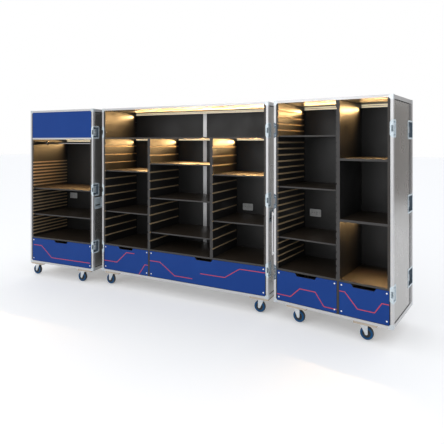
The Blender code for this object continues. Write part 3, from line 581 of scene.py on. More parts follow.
# The lining boards of the columns: birch plywood with a black film, in which grooves for the loose
# shelves are milled at an even pitch. The milled grooves show the bare wood.
LINER_T = 0.0135
LINER_IN = SIDE_IN + LINER_T
DRAWER_BAY_H, DECK_T = 0.247, 0.015
TOP_BAY_H, TOP_SHELF_T = 0.274, 0.013
DECK_LOW = FLOOR_Z + DRAWER_BAY_H
DECK_TOP = DECK_LOW + DECK_T
TOP_SHELF_TOP = ROOF_Z - TOP_BAY_H
TOP_SHELF_LOW = TOP_SHELF_TOP - TOP_SHELF_T
GROOVE_H = 0.0135
GROOVE_DEPTH = 0.006
GROOVE_RUNS = {
    "left": (23, DECK_TOP + 0.032, LEFT_HEAD_LOW - 0.249),
    "centre": (12, DECK_TOP + 0.078, TOP_SHELF_LOW - 0.076),
    "right": (25, DECK_TOP + 0.045, ROOF_Z - 0.062),
}
BARE_BIRCH = streaked(
    "milled_birch", stretch=(60.0, 14.0, 900.0), main=(0.50, 0.37, 0.22), streak=(0.34, 0.24, 0.13),
    rough=(0.55, 0.70),
)
DARK_EDGE = streaked(
    "sealed_ply_edge", stretch=(40.0, 40.0, 700.0), main=(0.020, 0.018, 0.016), streak=(0.050, 0.042, 0.034),
    rough=(0.50, 0.65),
)


def groove_heights(section):
    """The centre heights of a section's grooves, from the top one down."""
    count, low, high = GROOVE_RUNS[section]
    pitch = (high - low) / (count - 1)
    return [high - pitch * step for step in range(count)]


def grooved_line(x, low, high, grooves, inward):
    """Points up a board's face at x, with a groove cut inward (-1 left, +1 right) at each height."""
    points = [(x, low)]
    for centre in sorted(grooves):
        bottom = x + inward * GROOVE_DEPTH
        points += [(x, centre - GROOVE_H / 2), (bottom, centre - GROOVE_H / 2)]
        points += [(bottom, centre + GROOVE_H / 2), (x, centre + GROOVE_H / 2)]
    points.append((x, high))
    return points


def drawn_out(name, outline, low, high, axis="y"):
    """A flat outline drawn out between two places along an axis."""
    orders = {"x": lambda a, b, c: (c, a, b), "y": lambda a, b, c: (a, c, b), "z": lambda a, b, c: (a, b, c)}
    bm = bmesh.new()
    near = [bm.verts.new(orders[axis](*point, low)) for point in outline]
    far = [bm.verts.new(orders[axis](*point, high)) for point in outline]
    bm.faces.new(near)
    bm.faces.new(far)
    for step in range(len(outline)):
        after = (step + 1) % len(outline)
        bm.faces.new((near[step], near[after], far[after], far[step]))
    bmesh.ops.recalc_face_normals(bm, faces=bm.faces)
    return mesh_of(name, bm)


def board_finish(faces_x):
    """Film on the two broad faces, sealed edge in front, and bare wood on the grooves' bottoms."""

    def choose(normal, centre):
        if abs(normal.y) > FACING:
            return 1
        if abs(normal.x) > FACING and min(abs(centre.x - x) for x in faces_x) > GAP:
            return 2
        return 0

    return choose


for section in SECTIONS:
    width = wide[section]
    grooves = groove_heights(section)
    top = LEFT_HEAD_LOW if section == "left" else ROOF_Z
    for hand, back_x, face_x, inward in (
        ("left", SIDE_IN, LINER_IN, -1),
        ("right", width - SIDE_IN, width - LINER_IN, 1),
    ):
        cuts = () if (section, hand) == ("right", "right") else grooves
        face = grooved_line(face_x, DECK_TOP, top, cuts, inward)
        outline = [(back_x, DECK_TOP), *face, (back_x, top)]
        name = section + "_lining_" + hand
        put(
            name, drawn_out(name, outline, SKIN, BACK_IN), section, (BLACK_FILM, DARK_EDGE, BARE_BIRCH),
            board_finish((back_x, face_x)), ease=0.0003, slot="ply",
        )


# The boards that stand or lie between the walls: the deck over the drawers, the uprights, the fixed
# shelves and the partition between two drawers. They are black ply with a dark edge band in front.
DIVIDER_T = 0.030
STUB_T = 0.016
CENTRE_COLUMN_WS = (0.531, 0.487)
RIGHT_COLUMN_W = 0.489
CENTRE_UPRIGHTS = (
    LINER_IN + CENTRE_COLUMN_WS[0],
    wide["centre"] - LINER_IN - CENTRE_COLUMN_WS[1] - DIVIDER_T,
)
RIGHT_UPRIGHT = LINER_IN + RIGHT_COLUMN_W
FIXED_SHELF_T = 0.018
LOW_ROOM, MIDDLE_ROOM = 0.435, 0.457
FIXED_SHELF_ZS = (DECK_TOP + LOW_ROOM, DECK_TOP + LOW_ROOM + MIDDLE_ROOM)
BACK_END = BACK_IN - GAP
STUBS = {
    "centre": CENTRE_UPRIGHTS[0] + (DIVIDER_T - STUB_T) / 2,
    "right": RIGHT_UPRIGHT + (DIVIDER_T - STUB_T) / 2,
}
EDGE_BAND = scuffed(
    "grey_edge_band", size=1.0, main=(0.046, 0.044, 0.043), worn=(0.062, 0.059, 0.057),
    rough=(0.42, 0.55), specular=0.25,
)
# A brownish copy of the black film: painted warm light from the light bars on the tops of the lying boards.
PAINTED_LAMPLIGHT_FILM = streaked(
    "black_film_painted_lamplight", stretch=(6.0, 90.0, 90.0), main=(0.040, 0.028, 0.019), streak=(0.026, 0.019, 0.013),
    rough=(0.34, 0.46),
)


def shelf_choice(normal, centre):
    """Black film tinted brown on top as painted warm lamplight, a grey band on the front edge, black film
    underneath.
    """
    if normal.z > FACING:
        return 1
    return 2 if normal.y < -FACING else 0


def put_board(name, section, low, high, slot="divider", **options):
    finishes = (BLACK_FILM, PAINTED_LAMPLIGHT_FILM, EDGE_BAND)
    return put_blocks(name, [(low, high)], section, finishes, shelf_choice, slot=slot, **options)


for section in SECTIONS:
    width = wide[section]
    inset = SIDE_IN if section == "left" else SIDE_IN + GAP
    stands_for = [section + "_dividers"] if section != "left" else []
    put_board(
        section + "_deck", section, (inset, SKIN, DECK_LOW), (width - inset, BACK_END, DECK_TOP),
        stands_for=stands_for,
    )
    if section in STUBS:
        x = STUBS[section]
        name = section + "_drawer_partition"
        board = [((x, SKIN, FLOOR_Z + GAP), (x + STUB_T, BACK_END, DECK_LOW))]
        put_blocks(name, board, section, (BLACK_FILM, DARK_EDGE), looking(1, -1), slot="divider")
put_board(
    "left_ceiling", "left", (SIDE_IN, SKIN, LEFT_HEAD_LOW), (wide["left"] - SIDE_IN, BACK_END, LEFT_HEAD_TOP)
)
put_board(
    "centre_top_shelf", "centre",
    (LINER_IN + GAP, SKIN, TOP_SHELF_LOW), (wide["centre"] - LINER_IN - GAP, BACK_END, TOP_SHELF_TOP),
)
for number, z in enumerate(FIXED_SHELF_ZS, 1):
    put_board(
        "right_fixed_shelf_" + str(number), "right",
        (RIGHT_UPRIGHT + DIVIDER_T, SKIN, z), (wide["right"] - LINER_IN - GAP, BACK_END, z + FIXED_SHELF_T),
    )
uprights = [("centre", number, x, TOP_SHELF_LOW) for number, x in enumerate(CENTRE_UPRIGHTS, 1)]
uprights.append(("right", 1, RIGHT_UPRIGHT, ROOF_Z - GAP))
for section, number, x, top in uprights:
    grooves = groove_heights(section)
    up = grooved_line(x, DECK_TOP, top, grooves, 1)
    down = grooved_line(x + DIVIDER_T, DECK_TOP, top, grooves if section == "centre" else (), -1)
    name = section + "_upright_" + str(number)
    put(
        name, drawn_out(name, up + down[::-1], SKIN, BACK_END), section, (BLACK_FILM, EDGE_BAND, BARE_BIRCH),
        board_finish((x, x + DIVIDER_T)), ease=0.0003, slot="divider",
    )


# The left section's closed head: a blue laminate front over the ceiling board, whose edge has a
# plain aluminium strip.
BLUE_LAMINATE = scuffed(
    "blue_laminate", size=0.7, main=(0.0085, 0.0440, 0.2150), worn=(0.0105, 0.0500, 0.2320),
    rough=(0.36, 0.46), bump=0.08, specular=0.12,
)
EDGE_METAL = streaked(
    "drawn_aluminium", stretch=(260.0, 260.0, 260.0), main=(0.60, 0.60, 0.605), streak=(0.53, 0.53, 0.535),
    rough=(0.34, 0.46), metallic=0.85, bump=0.05,
)
FASCIA_T, STRIP_T = 0.015, 0.0012
fascia = [((SIDE_IN, SKIN, LEFT_HEAD_TOP), (wide["left"] - SIDE_IN, SKIN + FASCIA_T, ROOF_Z))]
put_blocks("left_fascia", fascia, "left", (BLUE_LAMINATE,), slot="drawer")
strip = [((SIDE_IN, SKIN - STRIP_T, LEFT_HEAD_LOW), (wide["left"] - SIDE_IN, SKIN, LEFT_HEAD_TOP))]
put_blocks("left_ceiling_strip", strip, "left", (EDGE_METAL,), slot="edging")


# The edging: drawn aluminium angles, 30 mm on the outside faces, mitred into one frame round each
# section and riveted through the ply. Their front flanges make the bright frame of each opening.
EDGE_W = 0.030
STILE_W = 0.0205
RAIL_W = 0.020
RIVET_R = 0.0040
RIVET_H = 0.00045
RIVET_PITCH = 0.165
RIVET_IN = 0.018
RIVET_SIDES = 10
RIVET_TIERS = ((1.0, 0.92, -0.5, 0.5), (0.92, 0.45, 0.5, 1.0))


def frame_mesh(name, low, high, flange, front_w, front_h):
    """Angles along the edges of a block, left when windows are cut through its faces."""
    mesh = block_mesh(name, [(low, high)])
    inner = (low + Vector((EDGE_T,) * 3), high - Vector((EDGE_T,) * 3))
    windows = [inner]
    for through, across, up in (
        (1, (0, front_w), (2, front_h)),
        (0, (1, flange), (2, flange)),
        (2, (0, flange), (1, flange)),
    ):
        window = (low.copy(), high.copy())
        window[0][through] -= CLEAR
        window[1][through] += CLEAR
        for axis, border in (across, up):
            window[0][axis] += border
            window[1][axis] -= border
        windows.append(window)
    for window in windows:
        mesh = carved(mesh, window)
    return mesh


def spaced(low, high, pitch):
    """Even places from low to high, about a pitch apart."""
    count = max(2, round((high - low) / pitch) + 1)
    return [low + (high - low) * step / (count - 1) for step in range(count)]


def rivet_mesh(name, places, radius=RIVET_R, height=RIVET_H):
    """Low domed rivet heads, each at a point and standing out along a direction."""
    bm = bmesh.new()
    for point, out in places:
        aimed = Vector(out).to_track_quat("Z", "Y").to_matrix().to_4x4()
        for base, top, low, high in RIVET_TIERS:
            lifted = Matrix.Translation((0, 0, height * (low + high) / 2))
            bmesh.ops.create_cone(
                bm, cap_ends=True, segments=RIVET_SIDES, radius1=radius * base, radius2=radius * top,
                depth=height * (high - low), matrix=Matrix.Translation(point) @ aimed @ lifted,
            )
    return mesh_of(name, bm)


def clear_of_pockets(section, side, y, z):
    margin = EDGE_W / 2
    return all(
        facing != side or not (near - margin < y < far + margin and low - margin < z < high + margin)
        for _, facing, near, far, low, high in pockets(section)
    )


def edging_rivets(section):
    """Rivets along the outer flanges of both sides, the roof and the back."""
    width, depth = wide[section], deep[section]
    uprights = spaced(RIVET_IN + EDGE_W, CASE_H - RIVET_IN - EDGE_W, RIVET_PITCH)
    depths = spaced(RIVET_IN + EDGE_W, depth - RIVET_IN - EDGE_W, RIVET_PITCH)
    widths = spaced(RIVET_IN + EDGE_W, width - RIVET_IN - EDGE_W, RIVET_PITCH)
    found = []
    for side, x in ((-1, 0.0), (1, width)):
        rim = [(y, z) for y in (RIVET_IN, depth - RIVET_IN) for z in uprights]
        rim += [(y, z) for y in depths for z in (RIVET_IN, CASE_H - RIVET_IN)]
        found += [((x, y, z), (side, 0, 0)) for y, z in rim if clear_of_pockets(section, side, y, z)]
    rim = [(x, y) for x in (RIVET_IN, width - RIVET_IN) for y in depths]
    rim += [(x, y) for x in widths for y in (RIVET_IN, depth - RIVET_IN)]
    found += [((x, y, CASE_H), (0, 0, 1)) for x, y in rim]
    if section != "right":
        back = [(x, z) for x in (RIVET_IN, width - RIVET_IN) for z in uprights]
        back += [(x, z) for x in widths for z in (RAIL_W / 2, CASE_H - RAIL_W / 2)]
        found += [((x, depth, z), (0, 1, 0)) for x, z in back]
    return found


for section in SECTIONS:
    name = section + "_edging_frame"
    outer = Vector((wide[section], deep[section], CASE_H))
    angles = frame_mesh(name, Vector((0, 0, 0)), outer, EDGE_W, STILE_W, RAIL_W)
    angles = carved(angles, *pocket_blocks(section, DISH_SHEET))
    put(name, angles, section, (EDGE_METAL,), ease=0.0005, slot="edging", stands_for=[section + "_edging"])
    name = section + "_edging_rivets"
    put(name, rivet_mesh(name, edging_rivets(section)), section, (EDGE_METAL,), ease=0, slot="edging")


# The drawers: birch trays on side runners behind blue laminate fronts, each with a finger notch in
# its top edge and white screw caps in its corners. The fronts carry a plain red line inlay.
DRAWER_GAP = 0.002
FRONT_T = 0.015
WALL_T = 0.012
BOTTOM_T = 0.009
RUNNER_T = 0.0124
NOTCH_W, NOTCH_H, NOTCH_SLOPE, NOTCH_R = 0.184, 0.023, 0.012, 0.006
NOTCH_STEPS = 4
TRAY_FROM_BACK, TRAY_LIFT = 0.030, 0.006
CAP_R, CAP_TAPER, CAP_SIDES = 0.0065, 0.82, 20
CAP_IN = 0.017
CAP_PROUD_OF_FRONT, CAP_SUNK = 0.0009, 0.0004
CAP_ZS = (0.048, 0.245)
INLAY_W = 0.006
INLAY_PROUD = 0.0003
MITRE_LEAST = 0.3
TRAY_BIRCH = streaked(
    "birch_ply", stretch=(30.0, 5.0, 30.0), main=(0.58, 0.42, 0.25), streak=(0.44, 0.30, 0.165),
    rough=(0.42, 0.58),
)
CAP_WHITE = scuffed(
    "white_cap", size=3.0, main=(0.80, 0.80, 0.79), worn=(0.72, 0.71, 0.69),
    rough=(0.35, 0.50),
)
RED_INLAY = scuffed(
    "red_inlay", size=2.0, main=(0.52, 0.040, 0.055), worn=(0.46, 0.034, 0.050),
    rough=(0.35, 0.45),
)
RUNNER_ZINC = streaked(
    "zinc_plate", stretch=(70.0, 70.0, 70.0), main=(0.66, 0.70, 0.72), streak=(0.50, 0.54, 0.57),
    rough=(0.26, 0.42), metallic=1.0, bump=0.05,
)
INLAYS = {
    "left_drawer": (((0.02, 0.70), (0.16, 0.70), (0.34, 0.22), (0.98, 0.22)),),
    "centre_drawer_narrow": (
        ((0.0, 0.35), (0.30, 0.35), (0.52, 0.80), (0.70, 0.80)),
        ((0.80, 0.0), (0.93, 0.42), (1.0, 0.42)),
    ),
    "centre_drawer_wide": (
        ((0.0, 0.62), (0.10, 0.62), (0.24, 0.18), (0.40, 0.18)),
        ((0.47, 0.42), (0.68, 0.42), (0.80, 0.80), (1.0, 0.80)),
    ),
    "right_drawer_wide": (
        ((0.0, 0.20), (0.24, 0.20), (0.40, 0.52), (0.66, 0.52), (0.80, 0.12), (1.0, 0.12)),
    ),
    "right_drawer_narrow": (
        ((0.0, 0.72), (0.12, 0.72), (0.38, 0.28), (0.72, 0.28), (0.86, 0.60), (1.0, 0.60)),
    ),
}


def drawer_spans(section):
    if section == "left":
        return ((SIDE_IN, wide["left"] - SIDE_IN),)
    stub = STUBS[section]
    return ((SIDE_IN, stub), (stub + STUB_T, wide[section] - SIDE_IN))


def notched_front(left, right, low, high):
    """A drawer front's outline, with the finger notch in the middle of its top edge."""
    middle = (left + right) / 2
    lower = NOTCH_W / 2 - NOTCH_SLOPE
    arc = []
    for step in range(NOTCH_STEPS + 1):
        angle = math.pi / 2 * step / NOTCH_STEPS
        up = high - NOTCH_H + NOTCH_R * (1 - math.sin(angle))
        arc.append((lower - NOTCH_R * (1 - math.cos(angle)), up))
    points = [(left, low), (right, low), (right, high), (middle + NOTCH_W / 2, high)]
    points += [(middle + across, up) for across, up in arc]
    points += [(middle - across, up) for across, up in reversed(arc)]
    return points + [(middle - NOTCH_W / 2, high), (left, high)]


def ribbon_outline(line, width):
    """Both edges of a bent line of even width, as one outline."""
    points = [Vector(point) for point in line]
    runs = [(after - before).normalized() for before, after in zip(points, points[1:])]
    left, right = [], []
    for step, point in enumerate(points):
        before = runs[max(0, step - 1)]
        after = runs[min(len(runs) - 1, step)]
        mitre = Vector((-before.y - after.y, before.x + after.x)).normalized()
        reach = width / 2 / max(MITRE_LEAST, mitre.dot(Vector((-after.y, after.x))))
        left.append(point + mitre * reach)
        right.append(point - mitre * reach)
    return [tuple(point) for point in left + right[::-1]]


def disc_mesh(name, places, radius, low, high):
    """Flat round buttons along y, each with a narrower lip in front."""
    bm = bmesh.new()
    forward = Matrix.Rotation(math.pi / 2, 4, "X")
    for x, z in places:
        bmesh.ops.create_cone(
            bm, cap_ends=True, segments=CAP_SIDES, radius1=radius, radius2=radius * CAP_TAPER,
            depth=high - low, matrix=Matrix.Translation((x, (low + high) / 2, z)) @ forward,
        )
    return mesh_of(name, bm)


for section in SECTIONS:
    for name, (left, right) in zip(DRAWER_NAMES[section], drawer_spans(section)):
        low, high = FLOOR_Z + DRAWER_GAP, DECK_LOW - DRAWER_GAP
        face = SKIN
        outline = notched_front(left + DRAWER_GAP, right - DRAWER_GAP, low, high)
        front = drawn_out(name + "_front", outline, face, face + FRONT_T)
        put(
            name + "_front", front, section, (DARK_EDGE, BLUE_LAMINATE), looking(1, -1), ease=0.0005,
            body=name, slot="drawer", stands_for=[name],
        )
        inset = RUNNER_T + GAP
        x0, x1 = left + inset, right - inset
        y0, y1 = face + FRONT_T, BACK_IN - TRAY_FROM_BACK
        z0, z1 = low + TRAY_LIFT, high - NOTCH_H - DRAWER_GAP
        walls = {
            "side_left": ((x0, y0, z0), (x0 + WALL_T, y1, z1)),
            "side_right": ((x1 - WALL_T, y0, z0), (x1, y1, z1)),
            "back": ((x0 + WALL_T, y1 - WALL_T, z0), (x1 - WALL_T, y1, z1)),
            "bottom": ((x0 + WALL_T, y0, z0), (x1 - WALL_T, y1 - WALL_T, z0 + BOTTOM_T)),
        }
        for part, board in walls.items():
            put_blocks(
                name + "_" + part, [board], section, (TRAY_BIRCH,), ease=0.0008, body=name, slot="drawer"
            )
        caps = [(x, z) for x in (left + DRAWER_GAP + CAP_IN, right - DRAWER_GAP - CAP_IN) for z in CAP_ZS]
        part = name + "_screw_caps"
        discs = disc_mesh(part, caps, CAP_R, face - CAP_PROUD_OF_FRONT, face + CAP_SUNK)
        put(part, discs, section, (CAP_WHITE,), ease=0, body=name, slot="drawer")
        for number, line in enumerate(INLAYS[name], 1):
            ends = left + DRAWER_GAP, right - DRAWER_GAP
            bent = [(ends[0] + (ends[1] - ends[0]) * u, low + (high - low) * v) for u, v in line]
            part = name + "_inlay_" + str(number)
            ribbon = drawn_out(part, ribbon_outline(bent, INLAY_W), face - INLAY_PROUD, face + INLAY_PROUD)
            put(part, ribbon, section, (RED_INLAY,), ease=0, body=name, slot="drawer")


# The drawer runners: pressed zinc channels screwed to the walls and to the partition. Each has a
# shallow track for the drawer's side.
RUNNER_H = 0.045
RUNNER_Z = FLOOR_Z + 0.070
TRACK_DEPTH = 0.004
TRACK_LIP = 0.009
RUNNER_FROM_FRONT, RUNNER_FROM_BACK = 0.008, 0.040


def runner_outline(face, out):
    """A channel's section: a flat back on the wall and a track between two lips."""
    shapes = ((0, 0), (RUNNER_T, 0), (RUNNER_T, TRACK_LIP), (RUNNER_T - TRACK_DEPTH, TRACK_LIP))
    lower = [(face + out * across, RUNNER_Z + up) for across, up in shapes]
    upper = [(face + out * across, RUNNER_Z + RUNNER_H - up) for across, up in reversed(shapes)]
    return lower + upper


for section in SECTIONS:
    spans = drawer_spans(section)
    walls = [(spans[0][0], 1), (spans[-1][1], -1)]
    if section in STUBS:
        walls += [(STUBS[section], -1), (STUBS[section] + STUB_T, 1)]
    for number, (face, out) in enumerate(walls, 1):
        name = section + "_runner_" + str(number)
        reach = (SKIN + FRONT_T + RUNNER_FROM_FRONT, BACK_IN - RUNNER_FROM_BACK)
        channel = drawn_out(name, runner_outline(face, out), *reach)
        put(name, channel, section, (RUNNER_ZINC,), ease=0.0008, slot="zinc")


# The loose shelves: 12 mm black ply boards that slide into a pair of grooves, with a grey edge band
# on their front edge.
SHELF_T = 0.012
SHELF_SETBACK = 0.018
SHELF_PLAY = 0.0006
SHELF_REACH = GROOVE_DEPTH - SHELF_PLAY
COLUMNS = {
    "left_shelf": ("left", LINER_IN, wide["left"] - LINER_IN, (8, 16)),
    "centre_left_shelf": ("centre", LINER_IN, CENTRE_UPRIGHTS[0], (3, 8)),
    "centre_middle_shelf": ("centre", CENTRE_UPRIGHTS[0] + DIVIDER_T, CENTRE_UPRIGHTS[1], (2, 6, 10)),
    "centre_right_shelf": ("centre", CENTRE_UPRIGHTS[1] + DIVIDER_T, wide["centre"] - LINER_IN, (3, 8)),
    "right_shelf": ("right", LINER_IN, RIGHT_UPRIGHT, (4, 12, 20)),
}
for column, (section, left, right, places) in COLUMNS.items():
    heights = groove_heights(section)
    for number, place in enumerate(places, 1):
        name = column + "_" + str(number)
        z = heights[place] - GROOVE_H / 2 + GAP
        low = (left - SHELF_REACH, SHELF_SETBACK, z)
        high = (right + SHELF_REACH, BACK_IN - 2 * GAP, z + SHELF_T)
        put_board(name + "_board", section, low, high, slot="shelf", body=name, stands_for=[name])


# The light bars: a slim aluminium channel in the back top corner of each bay, with one or two warm
# white diffusers. A lamp in front of each bar gives its light to the walls, less in the right column.
BAR_D = 0.012
BAR_LIP = 0.004
BAR_END_GAP, BAR_TOP_GAP = 0.001, 0.0005
LINE_DEPTH, LINE_PROUD = 0.004, 0.0005
LAMP_TILT = math.radians(-56)
LAMP_AHEAD = 0.030
LAMP_DROP = 0.012
LAMP_SHORTER, LAMP_H = 0.03, 0.02
LAMP_SPREAD = math.radians(130)
WARM = (1.0, 0.60, 0.24)
GLOW_STRENGTH = 0.95
LAMP_POWER = {"left": 7.3, "centre": 7.9, "right": 6.0}
DIM_BARS = {"right_right": 4.4, "right_low": 4.0}
DIM_SPREAD = math.radians(104)
TWO_LINES = (0.027, 0.006, 2)
WIDE_LINES = (0.031, 0.008, 2)
ONE_LINE = (0.017, 0.009, 1)
LIGHT_BARS = {
    "left": ("left", LINER_IN, wide["left"] - LINER_IN, LEFT_HEAD_LOW, TWO_LINES),
    "centre_top": ("centre", LINER_IN, wide["centre"] - LINER_IN, ROOF_Z, TWO_LINES),
    "centre_left": ("centre", LINER_IN, CENTRE_UPRIGHTS[0], TOP_SHELF_LOW, ONE_LINE),
    "centre_middle": ("centre", CENTRE_UPRIGHTS[0] + DIVIDER_T, CENTRE_UPRIGHTS[1], TOP_SHELF_LOW, ONE_LINE),
    "centre_right": (
        "centre", CENTRE_UPRIGHTS[1] + DIVIDER_T, wide["centre"] - LINER_IN, TOP_SHELF_LOW, ONE_LINE,
    ),
    "right_left": ("right", LINER_IN, RIGHT_UPRIGHT, ROOF_Z, WIDE_LINES),
    "right_right": ("right", RIGHT_UPRIGHT + DIVIDER_T, wide["right"] - LINER_IN, ROOF_Z, WIDE_LINES),
    "right_low": ("right", RIGHT_UPRIGHT + DIVIDER_T, wide["right"] - LINER_IN, FIXED_SHELF_ZS[0], ONE_LINE),
}
DIFFUSER = scuffed(
    "warm_diffuser", size=9.0, main=(0.82, 0.70, 0.46), worn=(0.74, 0.60, 0.36),
    rough=(0.36, 0.50),
)
tree = DIFFUSER.node_tree
shader = tree.nodes["Principled BSDF"]
pattern = next(node for node in tree.nodes if node.type == "GROUP")
link_up(tree, pattern, "Colour", shader, "Emission Color")
shader.inputs["Emission Strength"].default_value = GLOW_STRENGTH
for bar, (section, left, right, top, (bar_h, line_h, lines)) in LIGHT_BARS.items():
    left, right = left + BAR_END_GAP, right - BAR_END_GAP
    high = top - BAR_TOP_GAP
    low = high - bar_h
    name = bar + "_light_channel"
    channel = block_mesh(name, [((left, BACK_IN - BAR_D, low), (right, BACK_END, high))])
    bases = spaced(low + BAR_LIP, high - BAR_LIP - line_h, bar_h)[:lines]
    ends = (left + BAR_LIP, right - BAR_LIP)
    floor_y = BACK_IN - BAR_D + LINE_DEPTH
    slots = [((ends[0], BACK_IN - CLEAR, z), (ends[1], floor_y, z + line_h)) for z in bases]
    put(name, carved(channel, *slots), section, (EDGE_METAL,), ease=0.0004, slot="edging")
    name = bar + "_light_lines"
    glow = [
        ((ends[0], BACK_IN - BAR_D - LINE_PROUD, z), (ends[1], floor_y, z + line_h)) for z in bases
    ]
    put_blocks(name, glow, section, (DIFFUSER,), ease=0.0015, slot="edging")
    lamp_data = bpy.data.lights.new(bar + "_lamp", "AREA")
    lamp_data.shape = "RECTANGLE"
    lamp_data.size = right - left - LAMP_SHORTER
    lamp_data.size_y = LAMP_H
    lamp_data.spread = DIM_SPREAD if bar in DIM_BARS else LAMP_SPREAD
    lamp_data.color = WARM
    lamp_data.energy = DIM_BARS.get(bar, LAMP_POWER[section]) * (right - left)
    lamp = in_scene(bar + "_lamp", lamp_data)
    lamp.parent = stands[section]
    lamp.location = ((left + right) / 2, BACK_IN - BAR_D - LAMP_AHEAD, low - LAMP_DROP)
    lamp.rotation_euler = (LAMP_TILT, 0, 0)
    lamp.visible_camera = False


# The centre's inner back is two sheets, joined by an upright aluminium strip with screws. Small
# screws also hold the lining boards in the top bay.
JOINT_STRIP = (0.899, 0.941)
JOINT_T = 0.0025
SCREW_R, SCREW_H = 0.0035, 0.0012
SCREW_ZS = (TOP_SHELF_TOP + 0.055, TOP_SHELF_TOP + 0.175)
SCREW_YS = (0.020, BACK_IN - 0.014)
strip = [
    ((JOINT_STRIP[0], BACK_IN - JOINT_T, DECK_TOP), (JOINT_STRIP[1], BACK_IN, TOP_SHELF_LOW)),
    ((JOINT_STRIP[0], BACK_IN - JOINT_T, TOP_SHELF_TOP), (JOINT_STRIP[1], BACK_IN, ROOF_Z)),
]
put_blocks("centre_joining_strip", strip, "centre", (EDGE_METAL,), slot="edging")
lining_screws = []
for side, x in ((1, LINER_IN), (-1, wide["centre"] - LINER_IN)):
    lining_screws += [((x, y, z), (side, 0, 0)) for z in SCREW_ZS for y in SCREW_YS]
name = "centre_lining_screws"
put(name, rivet_mesh(name, lining_screws, SCREW_R, SCREW_H), "centre", (RUNNER_ZINC,), ease=0, slot="zinc")


# The outlets: light grey plastic plates with two round sockets, set into cut-outs of the inner backs.
PLATE_SIZE = (0.107, 0.066)
PLATE_PROUD = 0.004
PLATE_R = 0.008
SOCKET_R, SOCKET_DEPTH, SOCKET_OUT = 0.0185, 0.013, 0.0225
BODY_R, BODY_D = 0.004, 0.022
PIN_R, PIN_OUT = 0.0026, 0.0095
PIN_SUNK, PIN_H = 0.0012, 0.0015
ARC_STEPS = 5
OUTLET_PLASTIC = scuffed(
    "light_grey_plastic", size=2.0, main=(0.56, 0.56, 0.55), worn=(0.48, 0.48, 0.47),
    rough=(0.32, 0.45), bump=0.05,
)


def rounded(left, right, low, high, radius, square=()):
    """A rectangle's outline with rounded corners, apart from those whose numbers are named square."""
    corners = (
        (right - radius, low + radius, -math.pi / 2), (right - radius, high - radius, 0.0),
        (left + radius, high - radius, math.pi / 2), (left + radius, low + radius, math.pi),
    )
    plain = ((right, low), (right, high), (left, high), (left, low))
    points = []
    for number, (across, up, start) in enumerate(corners):
        if number in square:
            points.append(plain[number])
            continue
        for step in range(ARC_STEPS + 1):
            angle = start + math.pi / 2 * step / ARC_STEPS
            points.append((across + radius * math.cos(angle), up + radius * math.sin(angle)))
    return points


def turned(name, profile, place=Matrix(), sides=32):
    """A profile of (radius, height) points turned about Z, then set in its place."""
    bm = bmesh.new()
    rings = []
    for radius, height in profile:
        angles = [2 * math.pi * step / sides for step in range(sides if radius else 1)]
        rings.append([bm.verts.new((radius * math.cos(a), radius * math.sin(a), height)) for a in angles])
    for low, high in zip(rings, rings[1:]):
        for step in range(sides):
            after = step + 1
            lower = (low[step % len(low)], low[after % len(low)])
            upper = (high[after % len(high)], high[step % len(high)])
            bm.faces.new(tuple(dict.fromkeys(lower + upper)))
    bmesh.ops.recalc_face_normals(bm, faces=bm.faces)
    mesh = mesh_of(name, bm)
    mesh.transform(place)
    return mesh


def rod(radius, length):
    return [(0, 0), (radius, 0), (radius, length), (0, length)]


def merged(name, meshes):
    """Several meshes as one."""
    bm = bmesh.new()
    for mesh in meshes:
        bm.from_mesh(mesh)
        bpy.data.meshes.remove(mesh)
    return mesh_of(name, bm)


BACKWARD = Matrix.Rotation(-math.pi / 2, 4, "X")
for section in SECTIONS:
    x, z = OUTLETS[section]
    outline = rounded(
        x - PLATE_SIZE[0] / 2, x + PLATE_SIZE[0] / 2, z - PLATE_SIZE[1] / 2, z + PLATE_SIZE[1] / 2, PLATE_R
    )
    name = section + "_outlet_plate"
    plate = drawn_out(name, outline, BACK_IN - PLATE_PROUD, BACK_IN - GAP)
    inner = rounded(x - OUTLET_W / 2, x + OUTLET_W / 2, z - OUTLET_H / 2, z + OUTLET_H / 2, BODY_R)
    body = drawn_out("outlet_body", inner, BACK_IN - PLATE_PROUD, BACK_IN + BODY_D)
    plate = combined(plate, body, "UNION")
    for out in (-SOCKET_OUT, SOCKET_OUT):
        place = Matrix.Translation((x + out, BACK_IN - 2 * PLATE_PROUD, z)) @ BACKWARD
        socket = turned("socket", rod(SOCKET_R, SOCKET_DEPTH + PLATE_PROUD), place)
        plate = combined(plate, socket, "DIFFERENCE")
    put(name, plate, section, (OUTLET_PLASTIC,), ease=0.0007, slot="zinc")
    pins = []
    for out in (-SOCKET_OUT, SOCKET_OUT):
        for pin in (-PIN_OUT, PIN_OUT):
            spot = (x + out + pin, BACK_IN - PLATE_PROUD + SOCKET_DEPTH - PIN_SUNK, z)
            pins.append(turned("pin", rod(PIN_R, PIN_H), Matrix.Translation(spot) @ BACKWARD, sides=12))
    name = section + "_outlet_contacts"
    put(name, merged(name, pins), section, (BLACK_FILM,), ease=0, slot="zinc")


